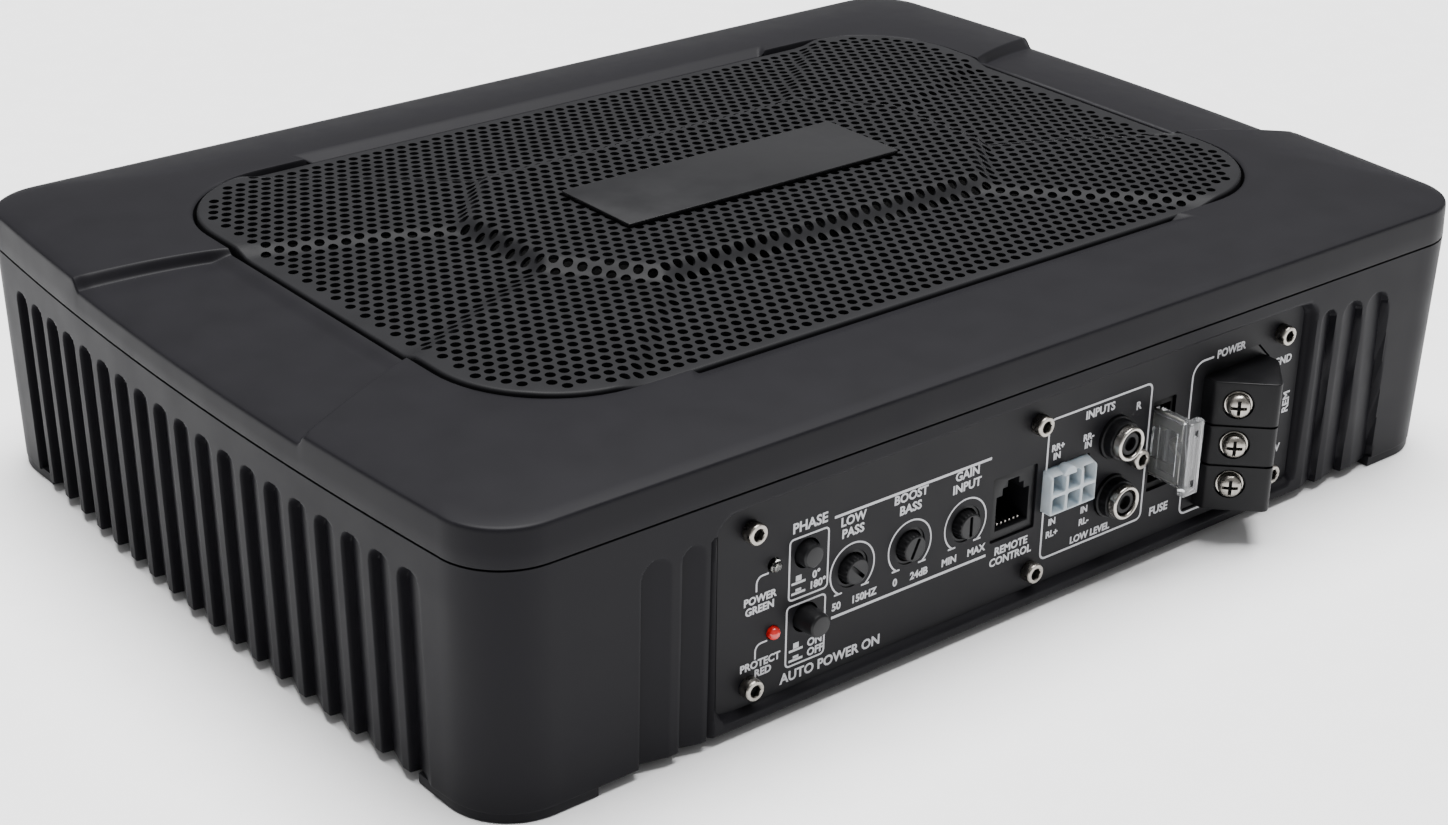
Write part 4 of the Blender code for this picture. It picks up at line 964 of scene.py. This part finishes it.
def print_panel():
    marks = []
    for z in (42.8, 18.6):
        marks.append(stroke([(-58.7, z), (-13.3, z)], 0.62))
    marks.append(stroke(rounded_rectangle(-70.8, -60.2, 26.8, 41.2, 1.0, 4), 0.42, closed=True))
    marks.append(stroke(rounded_rectangle(-71.2, -60.6, 10.8, 25.4, 1.0, 4), 0.42, closed=True))
    marks.append(stroke(rounded_rectangle(4.3, 37.5, 11.6, 46.7, 1.6, 5), 0.5, closed=True))
    corner = arc((55.0, 43.9), 3.6, 90, 180, 8)
    marks.append(stroke([(58.2, 47.5)] + corner + arc((53.3, 9.9), 1.9, 180, 270,
                                                      5) + [(59.0, 8.0)], 0.5))
    for x, _ in KNOBS.values():
        ring = arc((x, KNOB_Z), 6.2, -52, 232, 40)
        marks.append(stroke(ring, 0.38))
        for side in (-1, 1):
            end_x = x + side * 6.2 * math.cos(math.radians(52))
            end_z = KNOB_Z - 6.2 * math.sin(math.radians(52))
            marks.append(stroke([(end_x - 1.1, end_z - 0.1), (end_x + 1.1, end_z - 0.1)], 0.4))
    for low_z in (33.4, 17.3):
        marks.append(stroke([(-79.6, low_z - 1.2)] + arc((-78.0, low_z + 0.6), 1.6, 180, 90, 5)
                            + [(-76.4, low_z + 2.2)], 0.4))
    printed = (
        ("POWER", -78.6, 29.6, 1.75), ("GREEN", -78.6, 27.2, 1.75),
        ("PROTECT", -78.2, 14.0, 1.75), ("RED", -77.4, 11.7, 1.75), ("PHASE", -65.4, 42.6, 2.35),
        ("AUTO POWER ON", -58.4, 7.3, 2.35), ("0°", -63.3, 30.3, 1.7), ("180°", -62.9, 27.9, 1.7),
        ("ON", -63.2, 14.0, 1.8), ("OFF", -63.0, 11.6, 1.8), ("LOW", -53.4, 39.9, 2.1),
        ("PASS", -53.4, 37.0, 2.1), ("BOOST", -37.0, 40.2, 2.1), ("BASS", -37.0, 37.2, 2.1),
        ("GAIN", -20.4, 40.3, 2.1), ("INPUT", -20.4, 37.3, 2.1), ("50", -57.4, 20.2, 1.75),
        ("150HZ", -49.6, 20.2, 1.75), ("0", -40.6, 20.2, 1.75), ("24dB", -33.6, 20.2, 1.75),
        ("MIN", -24.6, 20.2, 1.75), ("MAX", -16.4, 20.2, 1.75), ("REMOTE", -5.4, 17.6, 1.9),
        ("CONTROL", -5.4, 15.0, 1.9), ("INPUTS", 20.6, 43.6, 2.0), ("R", 33.4, 41.2, 1.9),
        ("L", 33.6, 17.2, 1.9), ("LOW LEVEL", 20.4, 12.5, 1.75), ("RR+", 7.6, 38.6, 1.6),
        ("IN", 7.4, 36.4, 1.6), ("RR-", 17.4, 38.2, 1.6), ("IN", 17.4, 36.2, 1.6),
        ("IN", 7.4, 19.7, 1.6), ("RL+", 7.6, 16.6, 1.6), ("IN", 17.8, 19.5, 1.6),
        ("RL-", 18.0, 16.4, 1.6), ("FUSE", 43.7, 11.2, 2.1), ("POWER", 64.3, 46.8, 2.0),
        ("GND", 84.0, 38.7, 2.0), ("REM", 88.0, 27.7, 2.2, 90), ("12V", 84.3, 14.7, 2.0),
    )
    marks += [words(text, x, z, size, *turn) for text, x, z, size, *turn in printed]
    marks += push_mark(-68.2, 30.3, False) + push_mark(-68.2, 27.9, True)
    marks += push_mark(-68.4, 14.1, False) + push_mark(-68.4, 11.7, True)
    place(joined("panel_print", marks), INK, smooth=30)


def screw_socket(matrix, across, low, high):
    return extruded("hexagon", circle(0, 0, across, 6), matrix, low, high)


def panel_screws():
    """Socket cap screws: a knurled head with a softened rim and a hexagon socket, its floor painted
    dark as shade.
    """
    painted_shade_plugs = []
    for node, (x, z) in zip(SCREW_NODES, SCREWS):
        at = front_matrix(x, z)
        profile = [(0, 2.75), (1.95, 2.75), (2.2, 2.66), (2.36, 2.45), (2.41, 2.2), (2.41, 0.25),
                   (2.3, 0.02),
                   (1.45, 0.02), (1.45, -7.0), (0, -7.0)]

        def knurl(angle, height):
            return 1 + (0.012 if math.cos(angle * 32) > 0 and 0.2 < height < 2.3 else 0.0)

        head = lathe("head", profile, at, 128, ripple=knurl)
        boolean(head, screw_socket(at, 1.5, 0.5, 4))
        boolean(head, lathe("lead", [(0, 3.4), (2.1, 3.4), (1.3, 2.5), (0, 2.45)], at, 40))
        head.name = node + "_detail"
        place(head, SCREW_NICKEL, replaces=[node], smooth=30)
        # A near-black hexagon on each socket's floor: painted shade in the socket.
        painted_shade_plugs.append(screw_socket(at, 1.46, 0.3, 1.5))
    place(joined("screw_socket_painted_shade", painted_shade_plugs), DEEP_BLACK_AND_PAINTED_SHADE, smooth=30)


def buttons():
    for node, (x, z, proud) in BUTTONS.items():
        at = front_matrix(x, z)
        profile = [(0, proud - 0.06), (1.6, proud - 0.04), (2.25, proud - 0.16),
                   (2.62, proud - 0.5),
                   (2.8, proud - 1.1), (3.0, -1.3), (1.2, -1.35), (1.2, -6.4), (0, -6.4)]
        cap = lathe(node + "_cap", profile, at, 64)
        place(cap, KNOB_BLACK, body=node, replaces=[node], smooth=30)


def knobs():
    for node, (x, degrees) in KNOBS.items():
        at = front_matrix(x, KNOB_Z) @ Matrix.Rotation(math.radians(-degrees), 4, "Z")
        profile = [(0, 1.9), (2.7, 1.9), (2.95, 1.75), (3.05, 1.5), (3.3, -1.2), (3.3, -1.45),
                   (1.5, -1.45),
                   (1.5, -6.4), (0, -6.4)]

        def ribs(angle, height):
            return 1 + (0.035 * math.cos(angle * 18) if -1.3 < height < 1.6 else 0.0)

        cap = lathe("knob", profile, at, 144, ripple=ribs)
        slot = extruded("slot", rounded_rectangle(-0.45, 0.45, -2.5, 2.5, 0.3, 3), at, 0.7, 4)
        boolean(cap, slot)
        cap.name = node + "_cap"
        place(cap, KNOB_BLACK, body=node, replaces=[node], smooth=30)
        collar = lathe(node + "_collar", [(4.3, -0.3), (4.3, -4.0), (3.75, -4.0), (3.75, -0.3)],
                       front_matrix(x, KNOB_Z), 64, closed=True)
        place(collar, MOULDED, smooth=30)


def lamps():
    for node, (x, z) in LEDS.items():
        dome = [(1.5 * math.sin(math.radians(a)), 0.4 + 1.4 * math.cos(math.radians(a)))
                for a in range(0, 91, 10)]
        profile = dome + [(1.5, -2.3), (1.9, -2.35), (1.9, -3.3), (0, -3.3)]
        look = LENS_CLEAR if node == "power_led" else LENS_RED
        place(lathe(node + "_lens", profile, front_matrix(x, z), 40), look,
              replaces=[node])


def jack():
    low_x, high_x, low_z, high_z = JACK
    middle = (low_x + high_x) / 2
    body = block("jack_body", (low_x, PANEL_Y + 0.5, low_z), (high_x, -94.4, high_z))
    steps = [(5.0, 2.2), (5.0, 10.6), (3.2, 10.6), (3.2, 12.4), (1.7, 12.4), (1.7, 14.0)]
    outline = [(middle + x, low_z + z) for x, z in steps]
    outline += [(middle - x, low_z + z) for x, z in reversed(steps)]
    boolean(body, extruded("mouth", outline, front_matrix(0, 0), -9.7, 3))
    bevel(body, 0.2, 2)
    place(body, MOULDED, replaces=["remote_jack"])
    pins = []
    for n in range(6):
        x = middle - 3.2 + n * 1.28
        pins.append(block("pin", (x - 0.2, -105.2, low_z + 2.6), (x + 0.2, -98.5, low_z + 3.2)))
    place(joined("jack_contacts", pins), NICKEL)


def socket():
    """The six-way nylon header: rounded pockets, a latch on top and a keyed outline."""
    low_x, high_x, low_z, high_z = SOCKET
    front = PANEL_Y - 3.0
    body = block("header", (low_x, front, low_z), (high_x, -94.4, high_z))
    slope = extruded("slope", [(0, -1.3), (-3.4, 0.0), (1, 1), (1, -1.3)], Matrix(
        ((0, 0, 1, 0), (-1, 0, 0, front + 0.0), (0, 1, 0, high_z), (0, 0, 0, 1))), low_x - 1,
                     high_x + 1)
    boolean(body, slope)
    bevel(body, 0.5, 3)
    column, row = (high_x - low_x) / 3, (high_z - low_z - 0.8) / 2
    for index in range(6):
        x = low_x + (index % 3 + 0.5) * column
        z = low_z + 0.1 + (index // 3 + 0.5) * row
        pocket = rounded_rectangle(x - 2.05, x + 2.05, z - 2.1, z + 2.1, 0.6, 4)
        boolean(body, extruded("pocket", pocket, front_matrix(0, 0, front), -8, 1))
    latch = extruded("latch", arc((0, 0), 2.0, 0, 180, 14), front_matrix(9.4, high_z - 1.5, front),
                     -3.0, -0.15)
    bevel(latch, 0.2, 2)
    boolean(body, latch, "UNION")
    body.name = "six_way_header"
    place(body, NYLON, replaces=["high_level_socket"])
    pins = []
    for index in range(6):
        x = low_x + (index % 3 + 0.5) * column
        z = low_z + (index // 3 + 0.5) * row
        pins.append(lathe("pin", [(0, -3.2), (0.35, -3.4), (0.5, -3.9), (0.5, -7.6), (0, -7.6)],
                          front_matrix(x, z, front), 16))
    place(joined("header_pins", pins), NICKEL)


def phono():
    """The phono sockets: a ribbed collar with a flange, an insulating core and a nickel shell."""
    body = block("rca_block", (20.4, PANEL_BACK_Y + 0.3, 14.5), (38.2, -94.4, 43.3))
    parts = [body]
    for node, z in RCA_Z.items():
        at = front_matrix(RCA_X, z)
        profile = [(0, 3.22), (4.55, 3.22), (4.75, 3.02), (4.8, 0.9), (5.25, 0.7), (5.25, 0.1),
                   (5.0, 0.0),
                   (5.0, -3.0), (0, -3.0)]

        def ribs(angle, height):
            return 1 - (0.035 if math.cos(angle * 10) > 0.6 and height > 0.95 else 0.0)

        collar = lathe("collar", profile, at, 120, ripple=ribs)
        parts.append(collar)
        core = [(0, 4.75), (2.6, 4.75), (2.78, 4.55), (2.78, -2.0), (0, -2.0)]
        barrel = lathe("core", core, at, 48)
        boolean(barrel, lathe("bore", [(0, 6), (1.75, 6), (1.75, -1.5), (0, -1.5)], at, 32))
        parts.append(barrel)
        shell = lathe(node + "_shell",
                      [(3.55, 5.42), (3.85, 5.42), (4.06, 5.28), (4.15, 5.0), (4.15, 3.42),
                                        (3.2, 3.42), (3.2, 5.0), (3.3, 5.28)], at, 72, closed=True)
        place(shell, NICKEL, replaces=[node], smooth=50)
    housing_block = joined("rca_body", parts)
    place(housing_block, MOULDED, replaces=["rca_housing"])


def fuse_and_holder():
    x, z = FUSE
    low_x, high_x, low_z, high_z = FUSE_SLOT
    holder = block("holder", (low_x, PANEL_Y + 0.7, low_z), (high_x, -88.0, high_z))
    boolean(holder, block("slot", (x - 2.85, -112, z - 9.85), (x + 2.85, -90.5, z + 9.85)))
    bevel(holder, 0.15, 2)
    holder.name = "fuse_cradle"
    place(holder, DEEP_BLACK_AND_PAINTED_SHADE, replaces=["fuse_holder"])
    front = -117.1
    grip = block("grip", (x - 2.5, front, z - 9.5), (x + 2.5, front + 2.2, z + 9.5))
    bevel(grip, 0.4, 3)
    shell = block("shell", (x - 1.9, front + 1.2, z - 8.2), (x + 1.9, front + 13.2, z + 8.2))
    bevel(shell, 0.35, 2)
    boolean(grip, shell, "UNION")
    for side in (-1, 1):
        at = z + side * 6.4
        boolean(grip, block("test_slot", (x - 0.6, front - 1, at - 0.9),
                            (x + 0.6, front + 1.2, at + 0.9)))
    for face in (-1, 1):
        boolean(grip, block("waist", (x + face * 1.9 - 0.35, front + 4.0, z - 5.6),
                            (x + face * 1.9 + 0.35, front + 9.6, z + 5.6)))
    hollow = block("hollow", (x - 0.75, front + 3.0, z - 7.5), (x + 0.75, front + 14.5, z + 7.5))
    boolean(grip, hollow)
    grip.name = "fuse_clear_body"
    place(grip, FUSE_CLEAR, body="fuse", replaces=["blade_fuse"])
    outline = [(-7.6, -20.6), (-4.4, -20.6), (-4.0, -20.0), (-4.0, -7.0), (-3.2, -5.2),
               (-1.6, -4.6),
               (0.4, -6.8), (2.2, -7.4), (3.4, -6.0), (3.6, -4.6), (4.2, -4.2), (5.0, -4.6),
               (5.2, -7.0),
               (4.6, -8.4), (4.0, -9.0), (4.0, -20.0), (4.4, -20.6), (7.6, -20.6), (7.9, -20.2),
               (7.9, -4.2),
               (7.5, -3.6), (3.2, -3.6), (2.6, -4.4), (2.4, -5.8), (1.8, -6.2), (0.8, -5.6),
               (-1.4, -3.6),
               (-7.5, -3.6), (-7.9, -4.2), (-7.9, -20.2)]
    turn = Matrix(((0, 0, 1, x), (0, -1, 0, front), (1, 0, 0, z), (0, 0, 0, 1)))
    element = extruded("fuse_element", outline, turn, -0.33, 0.33)
    place(element, ZINC, body="fuse")


def terminal_matrix(z):
    turn = Matrix.Rotation(math.radians(-45), 4, "Z") @ Matrix.Rotation(math.radians(90), 4, "X")
    return Matrix.Translation((*TERMINAL_FACE, z)) @ turn


def terminals():
    """The terminal block: three cells with thin parting grooves, and a screw in a seat on each."""
    plan = [(56.0, -100), (56.0, -109.6), (56.3, -110.3), (66.0, -119.9), (66.7, -120.3),
            (67.5, -120.35),
            (68.3, -119.9), (76.4, -111.9), (77.2, -110.9), (77.4, -110.2), (77.4, -100)]
    block_piece = loft("block", [[(px, py, z) for px, py in plan] for z in (TERMINAL_Z[0],
                                                                            TERMINAL_Z[1] - 0.1)])
    bevel(block_piece, 0.3, 3, 50)
    levels = sorted(TERMINALS.values())
    for low, high in zip(levels, levels[1:]):
        middle = (low + high) / 2 - 0.4
        outer = block("groove", (50, -130, middle - 0.3), (90, PANEL_Y - 1.2, middle + 0.3))
        core = [((px - 66.7) * 0.935 + 66.7, (py + 108) * 0.935 - 108) for px, py in plan]
        boolean(outer, loft("core", [[(px, py, z) for px, py in core] for z in (middle - 2,
                                                                                middle + 2)]))
        boolean(block_piece, outer)
    for name, z in TERMINALS.items():
        seat = [(0, 4), (3.75, 4), (3.75, -1.35), (2.1, -1.4), (2.1, -10.5), (0, -10.5)]
        boolean(block_piece, lathe("seat", seat, terminal_matrix(z), 64))
    flange = flat_plate("flange", [terminal_window(0.25)], PANEL_Y + 0.4, PANEL_BACK_Y)
    rear = block("rear", (53.5, PANEL_BACK_Y + 0.3, 9.7), (77.4, -92, 44.0))
    base = joined("terminal_moulding", [block_piece, flange, rear])
    place(base, MOULDED, replaces=["terminal_block"])
    for name, z in TERMINALS.items():
        at = terminal_matrix(z)
        profile = [(0, 2.38), (1.0, 2.35), (1.8, 2.2), (2.45, 1.85), (2.8, 1.35), (2.88, 0.9),
                   (2.88, 0.3),
                   (2.7, 0.12), (1.65, 0.12), (1.65, -8.3), (0, -8.3)]
        screw = lathe("screw", profile, at, 72)
        for long, wide in ((1.95, 0.42), (0.42, 1.95)):
            taper = [[at @ Vector((a * long * s, b * wide * s, h)) for a, b in
                      ((-1, -1), (1, -1), (1, 1), (-1, 1))] for s,
                     h in ((0.75, 0.6), (1.0, 2.5), (1.0, 4.0))]
            boolean(screw, loft("cross", taper))
        screw.name = f"{name}_screw_head"
        # Near-black bars at the bottom of each cross recess: painted shade in the recess.
        corners = ((-1.3, -0.3), (1.3, -0.3), (1.3, 0.3), (-1.3, 0.3))
        bars = [loft("floor", [[at @ Vector((a, b, h) if long else (b, a, h)) for a, b in corners]
                               for h in (0.4, 1.1)]) for long in (True, False)]
        recess = joined(f"{name}_recess_painted_shade", bars)
        place(recess, DEEP_BLACK_AND_PAINTED_SHADE, body=f"{name}_screw", smooth=30)
        place(screw, SCREW_NICKEL, body=f"{name}_screw",
              replaces=[f"{name}_terminal_screw"], smooth=30)
        ring = [(3.2, -0.2), (3.34, -0.32), (3.34, -0.98), (3.24, -1.1), (2.0, -1.1), (2.0, -0.2)]
        washer = lathe(f"{name}_washer_ring", ring, at, 72, closed=True)
        place(washer, NICKEL, body=f"{name}_washer",
              replaces=[f"{name}_terminal_washer"], smooth=30)


def flexing(node, look):
    """A ring that flexes with the cone, cut into sectors that are each an object of their own.
    The imported ring is hidden."""
    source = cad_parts[node]
    low, high = (Vector(corner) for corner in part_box(node))
    centre = (low + high) / 2
    mesh = source.data.copy()
    mesh.transform(source.matrix_world)
    half = math.pi / FLEX_SECTORS
    for index in range(FLEX_SECTORS):
        angle = 2 * half * index
        bm = bmesh.new()
        bm.from_mesh(mesh)
        for side in (-1, 1):
            cut = angle + side * half
            normal = Vector((-side * math.sin(cut), side * math.cos(cut), 0))
            bmesh.ops.bisect_plane(bm, geom=bm.verts[:] + bm.edges[:] + bm.faces[:], dist=1e-7,
                                   plane_co=centre, plane_no=normal, clear_outer=True)
            bmesh.ops.holes_fill(bm, edges=[e for e in bm.edges if e.is_boundary], sides=0)
        bmesh.ops.recalc_face_normals(bm, faces=bm.faces)
        piece_mesh = bpy.data.meshes.new(f"{node}_{index + 1}")
        bm.to_mesh(piece_mesh)
        bm.free()
        piece = linked(f"{node}_sector_{index + 1}", piece_mesh)
        piece_mesh.materials.clear()
        piece_mesh.materials.append(look)
        piece_mesh.shade_smooth()
        piece_mesh.set_sharp_from_angle(angle=math.radians(40))
        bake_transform(piece)
        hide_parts(node)


def dress_inside():
    """Materials for the nodes that are kept as they are."""
    looks = {
        BOARD: ["control_board", "amplifier_board"],
        ALUMINIUM: ["heat_sink"],
        MOULDED: ["power_transistor_1", "power_transistor_2", "power_transistor_3",
                  "supply_capacitor_1",
                  "supply_capacitor_2", "phase_switch", "auto_power_switch"],
        COPPER: ["toroid_transformer", "voice_coil"],
        FIBREBOARD: ["speaker_terminal"],
        STAINED: ["baffle_board"],
        BLACK_STEEL: ["woofer_basket"],
        ZINC: ["top_plate", "back_plate", "low_pass_potentiometer",
               "bass_boost_potentiometer", "gain_potentiometer"],
        FERRITE: ["magnet"],
        CONE_PULP: ["woofer_cone", "dust_cap"],
        RUBBER: ["woofer_gasket"],
    }
    for look, nodes in looks.items():
        for node in nodes:
            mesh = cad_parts[node].data
            mesh.materials.clear()
            mesh.materials.append(look)


camera()
stage()
housing()
feet()
cover()
grille()
name_plate()
panel()
print_panel()
panel_screws()
buttons()
knobs()
lamps()
jack()
socket()
phono()
fuse_and_holder()
terminals()
dress_inside()
flexing("cone_surround", RUBBER)
flexing("spider", CLOTH)
